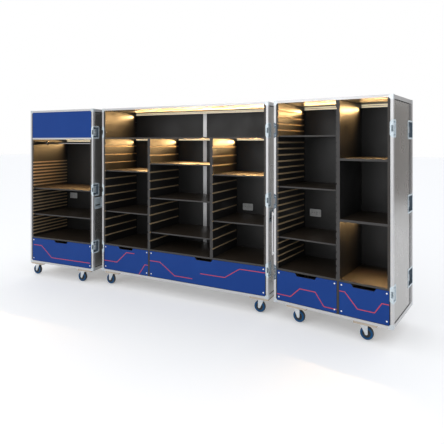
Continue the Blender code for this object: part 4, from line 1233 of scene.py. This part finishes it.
# The garment rail: a polished steel tube between two screwed wall flanges, below the light bar.
RAIL_R = 0.0125
RAIL_FLANGE_R, RAIL_FLANGE_T = 0.024, 0.006
RAIL_RIM_T, RAIL_BEVEL, RAIL_LIP = 0.0025, 0.004, 0.001
RAIL_COLLAR = 0.003
RAIL_SCREWS, RAIL_SCREW_R, RAIL_SCREW_OUT = 3, 0.0026, 0.0188
RAIL_PLACE = (0.200, 1.298)
POLISHED_STEEL = streaked(
    "polished_tube", stretch=(6.0, 300.0, 300.0), main=(0.34, 0.34, 0.35), streak=(0.28, 0.28, 0.29),
    rough=(0.10, 0.20), metallic=1.0, bump=0.03,
)
RIGHTWARD = Matrix.Rotation(math.pi / 2, 4, "Y")
near, far = LINER_IN + GAP, wide["left"] - LINER_IN - GAP
flange = [
    (0, 0), (RAIL_FLANGE_R, 0), (RAIL_FLANGE_R, RAIL_RIM_T),
    (RAIL_FLANGE_R - RAIL_BEVEL, RAIL_FLANGE_T - RAIL_LIP), (RAIL_R + RAIL_BEVEL, RAIL_FLANGE_T - RAIL_LIP),
    (RAIL_R + RAIL_COLLAR, RAIL_FLANGE_T), (0, RAIL_FLANGE_T),
]
at_rail = Matrix.Translation((0, *RAIL_PLACE))
tube = turned(
    "tube", rod(RAIL_R, far - near), at_rail @ Matrix.Translation((near, 0, 0)) @ RIGHTWARD, sides=28
)
first = turned("flange", flange, at_rail @ Matrix.Translation((near, 0, 0)) @ RIGHTWARD)
second = turned("flange", flange, at_rail @ Matrix.Translation((far, 0, 0)) @ RIGHTWARD.inverted())
name = "left_garment_rail_tube"
put(
    name, merged(name, [tube, first, second]), "left", (POLISHED_STEEL,), ease=0.0005, slot="rail",
    stands_for=["left_garment_rail"],
)
screws = []
for x, side in ((near + RAIL_FLANGE_T - RAIL_LIP, 1), (far - RAIL_FLANGE_T + RAIL_LIP, -1)):
    for step in range(RAIL_SCREWS):
        angle = math.pi / 2 + 2 * math.pi * step / RAIL_SCREWS
        y = RAIL_PLACE[0] + RAIL_SCREW_OUT * math.cos(angle)
        z = RAIL_PLACE[1] + RAIL_SCREW_OUT * math.sin(angle)
        screws.append(((x - side * SCREW_H, y, z), (side, 0, 0)))
name = "left_garment_rail_screws"
put(name, rivet_mesh(name, screws, RAIL_SCREW_R, SCREW_H * 2), "left", (RUNNER_ZINC,), ease=0, slot="rail")


# The latch and keeper dishes: pressed zinc boxes let into the sides by the open front, with a thin
# flange riveted on the side and a lip on the front. Keepers hold a strike, latches a turning key.
DISH_FLANGE = 0.013
DISH_PROUD = 0.0003
FLANGE_T = SKIN + DISH_PROUD
FLANGE_R = 0.014
DISH_R = 0.007
HOOK_SLOT = 0.022
HOOK_SLOT_DEPTH = 0.014
DISH_FROM_FRONT = 0.0004
FRONT_PLATE_W, PLATE_CLIP, PLATE_RISE = 0.0245, 0.006, 0.003
FRONT_RIVET_IN = 0.012
STRIKE_IN, STRIKE_T, STRIKE_R = 0.0035, 0.0016, 0.006
STRIKE_FRONT, STRIKE_MARGIN, STRIKE_LEG_IN = 0.004, 0.010, 0.012
STRIKE_SLOT_YS, STRIKE_SLOT_HALF = (0.014, 0.026), 0.020
DISH_ZINC = streaked(
    "pressed_zinc", stretch=(45.0, 45.0, 45.0), main=(0.66, 0.74, 0.78), streak=(0.52, 0.60, 0.65),
    rough=(0.36, 0.55), metallic=0.35, bump=0.08,
)
# A darker copy of the pressed zinc: painted shade inside the latch and lid dishes and on the right section's
# latch lips.
PAINTED_SHADE_ZINC = streaked(
    "zinc_painted_shade", stretch=(45.0, 45.0, 45.0), main=(0.13, 0.17, 0.21), streak=(0.09, 0.12, 0.15),
    rough=(0.42, 0.60), metallic=0.3, bump=0.08,
)
LATCH_NAMES = ("low", "middle", "high")


def side_face(section, side):
    return 0.0 if side < 0 else wide[section]


def dish_mesh(name, section, side, near, far, low, high):
    """A pressed dish: a box of thin sheet with a flange round its mouth, open or slotted in front."""
    face = side_face(section, side)
    floor_x = face - side * DISH_DEPTH
    at_front = near == 0.0
    margin_near = near if at_front else near - DISH_FLANGE
    edges = sorted((face, floor_x - side * DISH_SHEET))
    front = near + DISH_FROM_FRONT if at_front else near - DISH_SHEET
    lowest = (edges[0], front, low - DISH_SHEET)
    highest = (edges[1], far + DISH_SHEET, high + DISH_SHEET)
    box = block_mesh(name, [(lowest, highest)])
    square = (2, 3) if at_front else ()
    outline = rounded(
        margin_near, far + DISH_FLANGE, low - DISH_FLANGE, high + DISH_FLANGE, FLANGE_R, square
    )
    sheet = sorted((face + side * DISH_PROUD, face - side * (FLANGE_T - DISH_PROUD)))
    box = combined(box, drawn_out("flange", outline, *sheet, axis="x"), "UNION")
    mouth = sorted((face + side * CLEAR, floor_x))
    wall = near + 2 * DISH_SHEET if at_front else near
    hollow = drawn_out("hollow", rounded(wall, far, low, high, DISH_R, square), *mouth, axis="x")
    box = combined(box, hollow, "DIFFERENCE")
    if at_front:
        middle = (low + high) / 2
        deep_end = face - side * HOOK_SLOT_DEPTH
        slot_x = sorted((face + side * CLEAR, deep_end))
        slot = ((slot_x[0], -CLEAR, middle - HOOK_SLOT), (slot_x[1], wall + GAP, middle + HOOK_SLOT))
        box = carved(box, slot)
    return box


def recessed(section, side):
    """Picks the second finish for the faces that lie inside a dish, where the latch and lid dishes get their
    painted shade.
    """
    face = side_face(section, side)
    return lambda normal, centre: int(side * (face - centre.x) > 2 * FLANGE_T)


def front_plate_mesh(name, section, side, low, high):
    """The dish's lip on the front: a tapered plate on the upright's face, open where the hook passes."""
    face = side_face(section, side)
    inner = face - side * FRONT_PLATE_W
    outline = [
        (face, low - DISH_FLANGE), (face, high + DISH_FLANGE),
        (inner + side * PLATE_CLIP, high + PLATE_RISE), (inner, high - PLATE_CLIP),
        (inner, low + PLATE_CLIP), (inner + side * PLATE_CLIP, low - PLATE_RISE),
    ]
    plate = drawn_out(name, outline, -DISH_PROUD, EDGE_T / 2)
    middle = (low + high) / 2
    slot_x = sorted((face + side * CLEAR, face - side * HOOK_SLOT_DEPTH))
    return carved(plate, ((slot_x[0], -CLEAR, middle - HOOK_SLOT), (slot_x[1], CLEAR, middle + HOOK_SLOT)))


def dish_rivets(section, side, near, far, low, high):
    """Flat rivets in the flange's corners, and in the lip on the front."""
    face = side_face(section, side)
    rim = DISH_FLANGE / 2
    ys = (near + FRONT_RIVET_IN if near == 0.0 else near - rim, far + rim)
    places = [((face, y, z), (side, 0, 0)) for y in ys for z in (low - rim, high + rim)]
    if near == 0.0:
        x = face - side * FRONT_PLATE_W / 2
        places += [((x, 0.0, z), (0, -1, 0)) for z in (low + FRONT_RIVET_IN, high - FRONT_RIVET_IN)]
    return places


def strike_mesh(name, section, side, far, low, high):
    """A keeper's strike: a plate across the dish with a slot, folded down at the back."""
    face = side_face(section, side)
    top = face - side * STRIKE_IN
    across = sorted((top, top - side * STRIKE_T))
    back = far - STRIKE_MARGIN
    ends = (low + STRIKE_MARGIN, high - STRIKE_MARGIN)
    plate = drawn_out(name, rounded(STRIKE_FRONT, back, *ends, STRIKE_R), *across, axis="x")
    leg_x = sorted((top, face - side * DISH_DEPTH))
    foot = (leg_x[0], far - STRIKE_LEG_IN, ends[0] + STRIKE_LEG_IN)
    leg = block_mesh("leg", [(foot, (leg_x[1], back, ends[1] - STRIKE_LEG_IN))])
    middle = (low + high) / 2
    slot = (
        (across[0] - CLEAR, STRIKE_SLOT_YS[0], middle - STRIKE_SLOT_HALF),
        (across[1] + CLEAR, STRIKE_SLOT_YS[1], middle + STRIKE_SLOT_HALF),
    )
    return carved(combined(plate, leg, "UNION"), slot)


for section in SECTIONS:
    rivets = []
    counts = {}
    for kind, side, near, far, low, high in pockets(section):
        hand = "left" if side < 0 else "right"
        counts[kind, side] = counts.get((kind, side), 0) + 1
        number = LATCH_NAMES[counts[kind, side] - 1]
        name = "_".join((section, hand, kind, "dish", number))
        dish = dish_mesh(name, section, side, near, far, low, high)
        # Latch and lid dishes are darker inside, as painted shade in their hollows; keeper dishes stay plain
        # zinc.
        inside = PAINTED_SHADE_ZINC if kind in ("latch", "lid") else DISH_ZINC
        put(name, dish, section, (DISH_ZINC, inside), recessed(section, side), ease=0.0004, slot="zinc")
        rivets += dish_rivets(section, side, near, far, low, high)
        if near == 0.0:
            name = "_".join((section, hand, kind, "lip", number))
            lip = front_plate_mesh(name, section, side, low, high)
            # The right section's latch lips face the narrow gap by the centre and get the darker zinc as
            # painted shade.
            lip_zinc = PAINTED_SHADE_ZINC if (section, kind) == ("right", "latch") else DISH_ZINC
            put(name, lip, section, (lip_zinc,), ease=0.0001, slot="zinc")
        if kind == "keeper":
            name = "_".join((section, hand, "strike", number))
            strike = strike_mesh(name, section, side, far, low, high)
            put(name, strike, section, (DISH_ZINC,), ease=0.0004, slot="zinc")
    name = section + "_dish_rivets"
    put(name, rivet_mesh(name, rivets), section, (RUNNER_ZINC,), ease=0, slot="zinc")


# The guard bar: a slim aluminium bar on two zinc spacers, upright on the right section's left side at
# its front edge. It keeps the side from rubbing on the centre.
GUARD_X = (-0.0212, -0.0090)
GUARD_Y = (0.003, 0.011)
GUARD_Z = (0.378, 0.738)
SPACER_H, SPACER_FROM_END, SPACER_BITE, SPACER_RIM = 0.016, 0.020, 0.0010, 0.001
name = "right_guard_bar"
guard = [tuple(zip(GUARD_X, GUARD_Y, GUARD_Z))]
put_blocks(name, guard, "right", (EDGE_METAL,), ease=0.0020, slot="edging")
spacers = []
for z in (GUARD_Z[0] + SPACER_FROM_END, GUARD_Z[1] - SPACER_FROM_END):
    low = (GUARD_X[1] - SPACER_BITE, GUARD_Y[0] + SPACER_RIM, z - SPACER_H / 2)
    spacers.append((low, (SPACER_BITE, GUARD_Y[1] - SPACER_RIM, z + SPACER_H / 2)))
name = "right_guard_spacers"
put_blocks(name, spacers, "right", (RUNNER_ZINC,), ease=0.0004, slot="zinc")


# The butterfly keys: cast zinc wings on a round hub, which turn on a housing plate in each latch dish.
HUB_R, HUB_H, HUB_EASE = 0.012, 0.0095, 0.002
KEY_CAP_R, KEY_CAP_RISE = 0.0065, 0.0012
WING_L, WING_W, WING_T = 0.026, 0.010, 0.0035
WING_SUNK = 0.001
WAIST_W = 0.0045
HOUSING_W, HOUSING_H, HOUSING_T, HOUSING_R = 0.046, 0.070, 0.0022, 0.008
KEY_SETBACK = LATCH_D / 2 + EDGE_T
LID_KEY_BEFORE = 0.034
CAST_ZINC = scuffed(
    "cast_zinc", size=6.0, main=(0.60, 0.63, 0.65), worn=(0.46, 0.48, 0.50),
    rough=(0.28, 0.42), metallic=0.9, bump=0.1,
)


def wing_outline():
    """A butterfly's outline: narrow at the hub and wide and round at both ends."""
    points = []
    for turn in (0.0, math.pi):
        for step in range(-ARC_STEPS, ARC_STEPS + 1):
            angle = math.pi / 2 * step / ARC_STEPS
            x = WING_L - WING_W + WING_W * math.cos(angle)
            y = WING_W * math.sin(angle)
            points.append((x * math.cos(turn) - y * math.sin(turn), x * math.sin(turn) + y * math.cos(turn)))
        points.append((0.0, WAIST_W * math.cos(turn)))
    return points


def put_key(name, section, spot, side):
    """A key on its housing plate, facing out of a section's left or right side."""
    place = Matrix.Translation(spot) @ Matrix.Rotation(side * math.pi / 2, 4, "Y")
    outline = rounded(-HOUSING_H / 2, HOUSING_H / 2, -HOUSING_W / 2, HOUSING_W / 2, HOUSING_R)
    plate = drawn_out(name + "_housing", outline, 0, HOUSING_T, axis="z")
    plate.transform(place)
    put(name + "_housing", plate, section, (DISH_ZINC,), ease=0.0005, slot="zinc")
    base = HOUSING_T + GAP
    rim = ((HUB_R, base), (HUB_R, HUB_H - HUB_EASE), (HUB_R - HUB_EASE, HUB_H))
    hub = turned("hub", [(0, base), *rim, (0, HUB_H)])
    wing = drawn_out("wing", wing_outline(), HUB_H - WING_SUNK, HUB_H + WING_T, axis="z")
    tip = HUB_H + WING_T
    rim = ((KEY_CAP_R, HUB_H), (KEY_CAP_R, tip + KEY_CAP_RISE))
    cap = turned("cap", [(0, HUB_H), *rim, (0, tip + HUB_EASE)], sides=20)
    key = merged(name + "_wings", [hub, wing, cap])
    key.transform(place)
    put(name + "_wings", key, section, (CAST_ZINC,), ease=0.0006, body=name, slot="zinc", stands_for=[name])


for number, z in zip(LATCH_NAMES, LATCH_ZS):
    put_key("left_latch_key_" + number, "left", (wide["left"] - DISH_DEPTH, KEY_SETBACK, z), 1)
    put_key("right_latch_key_" + number, "right", (DISH_DEPTH, KEY_SETBACK, z), -1)
    spot = (wide["right"] - DISH_DEPTH, deep["right"] - LID_KEY_BEFORE, z)
    put_key("lid_latch_key_" + number, "right", spot, 1)


# The recessed handles: a round steel bail that hangs by its two pins in the handle dish, with a
# black grip sleeve.
BAIL_R = 0.004
BAIL_DROP, BAIL_AXIS_DROP, BAIL_BEND = 0.058, 0.012, 0.010
BAIL_PIN_L, BAIL_BACK_GAP = 0.010, 0.0015
BAIL_ARM = HANDLE_W / 2 - BAIL_PIN_L
BAIL_DEEP = DISH_DEPTH - BAIL_BACK_GAP - BAIL_R
GRIP_R, GRIP_SHORTER = 0.0051, 0.004
# Black rubber for the bail grips; the same black paints the shadow strips at the edging and lid seams.
BLACK_GRIP_AND_SEAM_SHADE = scuffed(
    "black_grip_and_seam_shade", size=5.0, main=(0.016, 0.016, 0.017), worn=(0.030, 0.030, 0.031),
    rough=(0.55, 0.70), bump=0.3,
)


def tube_mesh(name, points, radius):
    """A round bar bent along a line of points."""
    curve = bpy.data.curves.new(name, "CURVE")
    curve.dimensions = "3D"
    curve.bevel_depth = radius
    curve.bevel_resolution = 4
    curve.use_fill_caps = True
    line = curve.splines.new("POLY")
    line.points.add(len(points) - 1)
    for entry, point in zip(line.points, points):
        entry.co = (*point, 1)
    guide = in_scene(name, curve)
    bpy.context.view_layer.update()
    mesh = bpy.data.meshes.new_from_object(guide.evaluated_get(bpy.context.evaluated_depsgraph_get()))
    bpy.data.objects.remove(guide)
    return mesh


for section in ("left", "centre"):
    bail = section + "_handle_bail"
    spot = Vector((wide[section] - BAIL_DEEP, HANDLE_Y, HANDLE_Z + HANDLE_H / 2 - BAIL_AXIS_DROP))
    half = [(HANDLE_W / 2 - GAP, 0.0), (BAIL_ARM, 0.0)]
    for step in range(ARC_STEPS + 1):
        angle = math.pi / 2 * step / ARC_STEPS
        across = BAIL_ARM - BAIL_BEND * (1 - math.cos(angle))
        half.append((across, -BAIL_DROP + BAIL_BEND * (1 - math.sin(angle))))
    line = [(0, -across, up) for across, up in half] + [(0, across, up) for across, up in reversed(half)]
    bar = tube_mesh(bail + "_bar", line, BAIL_R)
    bar.transform(Matrix.Translation(spot))
    put(bail + "_bar", bar, section, (RUNNER_ZINC,), ease=0, body=bail, slot="zinc", stands_for=[bail])
    reach = BAIL_ARM - BAIL_BEND - GRIP_SHORTER
    along = Matrix.Translation(spot + Vector((0, -reach, -BAIL_DROP))) @ BACKWARD
    sleeve = turned(bail + "_grip", rod(GRIP_R, 2 * reach), along, sides=20)
    put(bail + "_grip", sleeve, section, (BLACK_GRIP_AND_SEAM_SHADE,), ease=0.0008, body=bail, slot="zinc")


# The right section's back lid: a shallow plywood tray with its own riveted edging. A black strip on each side
# at its seam with the body paints the seam's shadow.
LID_FRONT = deep["right"] + GAP
LID_T = 0.012
LID_RIM_T = 0.024
LID_BAND = 0.018
LID_SHADE_W, LID_SHADE_PROUD = 0.020, 0.0004
EDGEWISE = 0.1
width = wide["right"]
tray = block_mesh("lid", [((SKIN, LID_FRONT + EDGE_T, SKIN), (width - SKIN, CASE_D - SKIN, CASE_H - SKIN))])
hollow = ((LID_RIM_T, LID_FRONT - CLEAR, LID_RIM_T), (width - LID_RIM_T, CASE_D - LID_T, CASE_H - LID_RIM_T))
tray = carved(tray, hollow)
tray = carved(tray, *pocket_blocks("right", DISH_SHEET))


def outward(normal, centre):
    """The second finish for faces on the outside of the lid."""
    from_middle = centre - Vector((width / 2, 0, CASE_H / 2))
    if normal.y > FACING:
        return int(centre.y > CASE_D - SKIN - GAP)
    return int(abs(normal.y) < EDGEWISE and normal.dot(from_middle) > 0 and centre.y > LID_FRONT)


put(
    "right_back_lid_tray", tray, "right", (BLACK_FILM, STEEL_LAMINATE), outward,
    slot="ply", stands_for=["right_back_lid"],
)
lid_frame = block_mesh("lid_frame", [((0, LID_FRONT, 0), (width, CASE_D, CASE_H))])
windows = (
    ((EDGE_T, LID_FRONT - CLEAR, EDGE_T), (width - EDGE_T, CASE_D - EDGE_T, CASE_H - EDGE_T)),
    ((EDGE_W, CASE_D - CLEAR, EDGE_W), (width - EDGE_W, CASE_D + CLEAR, CASE_H - EDGE_W)),
    ((-CLEAR, LID_FRONT + LID_BAND, EDGE_W), (width + CLEAR, CASE_D - EDGE_W, CASE_H - EDGE_W)),
    ((EDGE_W, LID_FRONT + LID_BAND, -CLEAR), (width - EDGE_W, CASE_D - EDGE_W, CASE_H + CLEAR)),
)
for window in windows:
    lid_frame = carved(lid_frame, window)
lid_frame = carved(lid_frame, *pocket_blocks("right", DISH_SHEET))
put("right_back_lid_edging", lid_frame, "right", (EDGE_METAL,), ease=0.0005, slot="edging")
uprights = spaced(RIVET_IN + EDGE_W, CASE_H - RIVET_IN - EDGE_W, RIVET_PITCH)
widths = spaced(RIVET_IN + EDGE_W, width - RIVET_IN - EDGE_W, RIVET_PITCH)
lid_rivets = [((x, CASE_D, z), (0, 1, 0)) for x in (RIVET_IN, width - RIVET_IN) for z in uprights]
lid_rivets += [((x, CASE_D, z), (0, 1, 0)) for x in widths for z in (RIVET_IN, CASE_H - RIVET_IN)]
for side, x in ((-1, 0.0), (1, width)):
    y = CASE_D - RIVET_IN
    lid_rivets += [((x, y, z), (side, 0, 0)) for z in uprights if clear_of_pockets("right", side, y, z)]
name = "right_back_lid_rivets"
put(name, rivet_mesh(name, lid_rivets), "right", (EDGE_METAL,), ease=0, slot="edging")
# A black strip on each side along the lid seam: painted shadow of the gap between body and lid.
lid_seam_shade = []
for side, x in ((-1, 0.0), (1, width)):
    across = sorted((x + side * LID_SHADE_PROUD, x - side * EDGE_T / 2))
    low = (across[0], deep["right"] - LID_SHADE_W, EDGE_W)
    lid_seam_shade.append((low, (across[1], deep["right"] - GAP, CASE_H - EDGE_W)))
lid_seam_shade = carved(block_mesh("right_lid_painted_shadow", lid_seam_shade), *pocket_blocks("right", DISH_SHEET + DISH_FLANGE))
put("right_lid_painted_shadow", lid_seam_shade, "right", (BLACK_GRIP_AND_SEAM_SHADE,), ease=0.0002, slot="edging")


# Black strips where the side laminate meets the edging, along the roof, the floor and the back: painted
# shadow in the seam between the two.
SEAM_SHADOW_W, SEAM_SHADOW_T = 0.008, 0.0012
for section in SECTIONS:
    width, depth = wide[section], deep[section]
    seam_shadows = []
    for side, x in ((-1, 0.0), (1, width)):
        across = sorted((x - side * SKIN, x - side * (SKIN - SEAM_SHADOW_T)))
        rows = (
            (EDGE_W, depth - EDGE_W, EDGE_W, EDGE_W + SEAM_SHADOW_W),
            (EDGE_W, depth - EDGE_W, CASE_H - EDGE_W - SEAM_SHADOW_W, CASE_H - EDGE_W),
            (depth - EDGE_W - SEAM_SHADOW_W, depth - EDGE_W, EDGE_W, CASE_H - EDGE_W),
        )
        seam_shadows += [((across[0], y0, z0), (across[1], y1, z1)) for y0, y1, z0, z1 in rows]
    name = section + "_sealant_beads"
    mesh = carved(block_mesh(name, seam_shadows), *pocket_blocks(section, DISH_SHEET + DISH_FLANGE))
    put(name, mesh, section, (BLACK_GRIP_AND_SEAM_SHADE,), ease=0.0003, slot="ply")


# The corner caps: pressed zinc plates with clipped corners on each corner of each section, with a
# ball at the back. They stay flush where the two closed wings meet side by side.
CAP_L, CAP_CLIP = 0.034, 0.015
CAP_T = 0.0012
CAP_PROUD = 0.00042
CAP_PROUD_FREE = 0.0016
BALL_R, BALL_IN, BALL_STEPS = 0.0165, 0.0135, 10


def cap_outline(corner, signs):
    """A square plate's outline from a corner inward, with its far corner clipped."""
    shape = ((0, 0), (CAP_L, 0), (CAP_L, CAP_L - CAP_CLIP), (CAP_L - CAP_CLIP, CAP_L), (0, CAP_L))
    return [(corner[0] - signs[0] * across, corner[1] - signs[1] * up) for across, up in shape]


def corner_mesh(name, corner, signs, free_side):
    """The three plates of a corner cap, and the ball of a back corner, flush where a wing closes."""
    x, y, z = corner
    proud = [CAP_PROUD_FREE] * 3
    inset = Vector((BALL_IN,) * 3)
    if not free_side:
        proud[0] = CAP_PROUD
        inset.x = BALL_R - CAP_PROUD
    if signs[1] < 0:
        proud[1] = CAP_PROUD
    plates = []
    for axis, outline in (
        ("x", cap_outline((y, z), (signs[1], signs[2]))),
        ("y", cap_outline((x, z), (signs[0], signs[2]))),
        ("z", cap_outline((x, y), (signs[0], signs[1]))),
    ):
        number = "xyz".index(axis)
        sheet = sorted(corner[number] + signs[number] * out for out in (proud[number], -CAP_T))
        plates.append(drawn_out("plate", outline, *sheet, axis=axis))
    if signs[1] > 0:
        centre = Matrix.Translation(Vector(corner) - Vector(signs) * inset)
        arc = [math.pi * step / BALL_STEPS - math.pi / 2 for step in range(1, BALL_STEPS)]
        ball = [(BALL_R * math.cos(angle), BALL_R * math.sin(angle)) for angle in arc]
        plates.append(turned("ball", [(0, -BALL_R), *ball, (0, BALL_R)], centre, sides=20))
    return merged(name, plates)


for section in SECTIONS:
    caps = []
    for x_sign in (-1, 1):
        free = section == "centre" or (section == "left") == (x_sign > 0)
        for y_sign in (-1, 1):
            for z_sign in (-1, 1):
                signs = (x_sign, y_sign, z_sign)
                ends = (wide[section], CASE_D, CASE_H)
                corner = tuple(end if sign > 0 else 0.0 for end, sign in zip(ends, signs))
                caps.append(corner_mesh("cap", corner, signs, free))
    name = section + "_corner_caps"
    put(name, merged(name, caps), section, (RUNNER_ZINC,), ease=0.0002, slot="zinc")


# The castor boards: two birch plywood boards across the underside of each section, screwed through
# the floor. Their edges show the plies.
BOARD_T = 0.018
BOARD_W = 0.170
BOARD_SETBACK = 0.004
CASTORS = {
    "left": ((0.068, 0.022), (wide["left"] - 0.162, 0.040)),
    "centre": ((0.094, 0.031), (wide["centre"] - 0.066, -0.022)),
    "right": ((0.155, 0.042), (wide["right"] - 0.245, 0.042)),
}
PLY_LAYERS = streaked(
    "ply_board", stretch=(5.0, 5.0, 620.0), main=(0.56, 0.49, 0.40), streak=(0.36, 0.29, 0.22),
    rough=(0.50, 0.66),
)
for section in SECTIONS:
    for number, (x, shift) in enumerate(CASTORS[section], 1):
        middle, half = x + shift, BOARD_W / 2
        low = (middle - half, BOARD_SETBACK, -BOARD_T)
        high = (middle + half, CASE_D - BOARD_SETBACK, 0.0)
        name = section + "_castor_board_" + str(number)
        put_blocks(name, [(low, high)], section, (PLY_LAYERS,), ease=0.0015, slot="ply")


# The castors: a bolted plate, a ball race, a bent steel fork and a wheel with a black hub, a blue
# ring and a dark tread. The centre's rear pair don't swivel.
WHEEL_D, WHEEL_W, WHEEL_FLATS = 0.100, 0.034, 24
CASTOR_ROOM, PLATE_T = 0.028, 0.003
CASTOR_H = WHEEL_D + CASTOR_ROOM
WHEEL_R = WHEEL_D / 2 * math.cos(math.pi / WHEEL_FLATS)
PLATE_LOW = -BOARD_T - PLATE_T
AXLE_DROP = BOARD_T + CASTOR_H - WHEEL_R + PLATE_LOW
CASTOR_FROM_EDGE = 0.075
TRAIL = 0.038
PLATE_X, PLATE_Y = 0.085, 0.105
BOLT_IN = 0.012
WHEEL_ROOM, LEG_T = 0.004, 0.003
LEG_GAP = WHEEL_W + WHEEL_ROOM
LEG_TOP_FRONT, LEG_TOP_BACK, LEG_TOP_FIXED = 0.049, 0.008, 0.033
LEG_END_R = 0.012
LEG_STEPS = 8
CROWN_R, CROWN_T, CROWN_RIM, CROWN_TAPER = 0.030, 0.010, 0.0055, 0.004
YOKE_T = 0.003
AXLE_R = 0.004
NUT_R, NUT_H, NUT_EASE_R, NUT_EASE_H = 0.0072, 0.0035, 0.001, 0.0006
BOLT_R = NUT_R * 0.9
HEXAGON = 6
HUB_EDGE_R, RING_R = 0.0325, 0.0470
HEADINGS = {"left": -math.pi / 2, "centre": -math.pi / 2, "right": math.pi / 2}
FORK_ZINC = streaked(
    "fork_zinc", stretch=(50.0, 50.0, 50.0), main=(0.70, 0.73, 0.74), streak=(0.58, 0.61, 0.63),
    rough=(0.34, 0.50), metallic=0.7, bump=0.05,
)
WHEEL_BLUE = scuffed(
    "blue_ring", size=8.0, main=(0.004, 0.062, 0.170), worn=(0.010, 0.080, 0.200),
    rough=(0.35, 0.52), specular=0.2,
)
WHEEL_BLACK = scuffed(
    "black_hub", size=8.0, main=(0.010, 0.010, 0.011), worn=(0.022, 0.022, 0.023),
    rough=(0.38, 0.55),
)
TREAD_GREY = scuffed(
    "dark_tread", size=8.0, main=(0.022, 0.023, 0.025), worn=(0.050, 0.050, 0.052),
    rough=(0.60, 0.80), bump=0.3,
)


def fork_mesh(name, trail, top_front, top_back):
    """A fork seen from the side: wide under the crown, round at the axle, with a gap for the wheel."""
    half = LEG_GAP / 2 + LEG_T
    outline = [(-top_front, YOKE_T - CROWN_T)]
    for step in range(LEG_STEPS + 1):
        angle = math.pi + math.pi * step / LEG_STEPS
        outline.append((-trail + LEG_END_R * math.cos(angle), -AXLE_DROP + LEG_END_R * math.sin(angle)))
    outline.append((top_back, YOKE_T - CROWN_T))
    fork = drawn_out(name, outline, -half, half, axis="x")
    fork = carved(fork, ((-LEG_GAP / 2, -CASTOR_H, -CASTOR_H), (LEG_GAP / 2, CASTOR_H, -CROWN_T)))
    rim = ((CROWN_R, -GAP), (CROWN_R, -CROWN_RIM), (CROWN_R - CROWN_TAPER, -CROWN_T))
    crown = [(0, -GAP), *rim, (0, -CROWN_T)]
    return combined(fork, turned("crown", crown), "UNION")


def axle_mesh(name, trail):
    """The axle bolt with a hexagon head and a nut outside the legs."""
    half = LEG_GAP / 2 + LEG_T
    nut = [(0, 0), (NUT_R, 0), (NUT_R, NUT_H - NUT_EASE_H), (NUT_R - NUT_EASE_R, NUT_H), (0, NUT_H)]
    at_axle = Matrix.Translation((0, -trail, -AXLE_DROP))
    left, right = (Matrix.Translation((x, 0, 0)) for x in (-half, half))
    pieces = [
        turned("bolt", rod(AXLE_R, 2 * half), at_axle @ left @ RIGHTWARD, sides=16),
        turned("head", nut, at_axle @ right @ RIGHTWARD, HEXAGON),
        turned("nut", nut, at_axle @ left @ RIGHTWARD.inverted(), HEXAGON),
    ]
    return merged(name, pieces)


# The wheel's parts in steps of radius and setback from the wheel's side, from the bore outward.
HUB_STEPS = (
    (AXLE_R + 0.0005, 0.0), (0.012, 0.0), (0.014, 0.006), (HUB_EDGE_R - 0.004, 0.006), (HUB_EDGE_R, 0.002),
)
RING_STEPS = (
    (HUB_EDGE_R - 0.001, 0.003), (HUB_EDGE_R, 0.0012), (RING_R - 0.006, 0.0), (RING_R, 0.004),
)
TREAD_STEPS = (
    (RING_R - 0.001, 0.0045), (RING_R + 0.0005, 0.004), (WHEEL_R - 0.0008, 0.008), (WHEEL_R, 0.012),
)
WHEEL_PARTS = (
    ("hub", HUB_STEPS, 40, WHEEL_BLACK),
    ("ring", RING_STEPS, 56, WHEEL_BLUE),
    ("tread", TREAD_STEPS, 56, TREAD_GREY),
)


def both_sides(steps):
    """A closed profile across the wheel, the same on both of its sides."""
    half = WHEEL_W / 2
    near = [(radius, -half + setback) for radius, setback in steps]
    far = [(radius, half - setback) for radius, setback in reversed(steps)]
    return near + far + near[:1]


for section in SECTIONS:
    plates, bolts = [], []
    for end, y in (("front", CASTOR_FROM_EDGE), ("rear", CASE_D - CASTOR_FROM_EDGE)):
        for hand, (x, _) in zip(("left", "right"), CASTORS[section]):
            plates.append(
                ((x - PLATE_X / 2, y - PLATE_Y / 2, PLATE_LOW), (x + PLATE_X / 2, y + PLATE_Y / 2, -BOARD_T))
            )
            for bolt_x in (x - PLATE_X / 2 + BOLT_IN, x + PLATE_X / 2 - BOLT_IN):
                for bolt_y in (y - PLATE_Y / 2 + BOLT_IN, y + PLATE_Y / 2 - BOLT_IN):
                    spot = Matrix.Translation((bolt_x, bolt_y, PLATE_LOW - NUT_H))
                    bolts.append(turned("bolt", rod(BOLT_R, NUT_H), spot, HEXAGON))
            castor = "_".join((section, "castor", end, hand))
            fixed = (section, end) == ("centre", "rear")
            trail = 0.0 if fixed else TRAIL
            tops = (LEG_TOP_FIXED, LEG_TOP_FIXED) if fixed else (LEG_TOP_FRONT, LEG_TOP_BACK)
            body = None if fixed else castor + "_fork"
            heading = 0.0 if fixed else HEADINGS[section]
            place = Matrix.Translation((x, y, PLATE_LOW)) @ Matrix.Rotation(heading, 4, "Z")
            for part, mesh in (
                ("fork_sheet", fork_mesh(castor + "_fork_sheet", trail, *tops)),
                ("axle", axle_mesh(castor + "_axle", trail)),
            ):
                mesh.transform(place)
                stands_for = [body] if body and part == "fork_sheet" else ()
                put(
                    castor + "_" + part, mesh, section, (FORK_ZINC,), ease=0.0008, body=body,
                    slot="zinc", stands_for=stands_for,
                )
            at_axle = Matrix.Translation((0, -trail, -AXLE_DROP)) @ RIGHTWARD
            for part, steps, sides, material in WHEEL_PARTS:
                mesh = turned(castor + "_wheel_" + part, both_sides(steps), at_axle, sides)
                mesh.transform(place)
                stands_for = [castor + "_wheel"] if part == "hub" else ()
                put(
                    castor + "_wheel_" + part, mesh, section, (material,), ease=0, body=castor + "_wheel",
                    slot="wheel", stands_for=stands_for,
                )
    name = section + "_castor_plates"
    put_blocks(name, plates, section, (FORK_ZINC,), ease=0.0008, slot="zinc")
    name = section + "_castor_bolts"
    put(name, merged(name, bolts), section, (RUNNER_ZINC,), ease=0.0004, slot="zinc")


low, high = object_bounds()
{"cad": [list(corner) for corner in cad_box], "visual": [list(low), list(high)]}
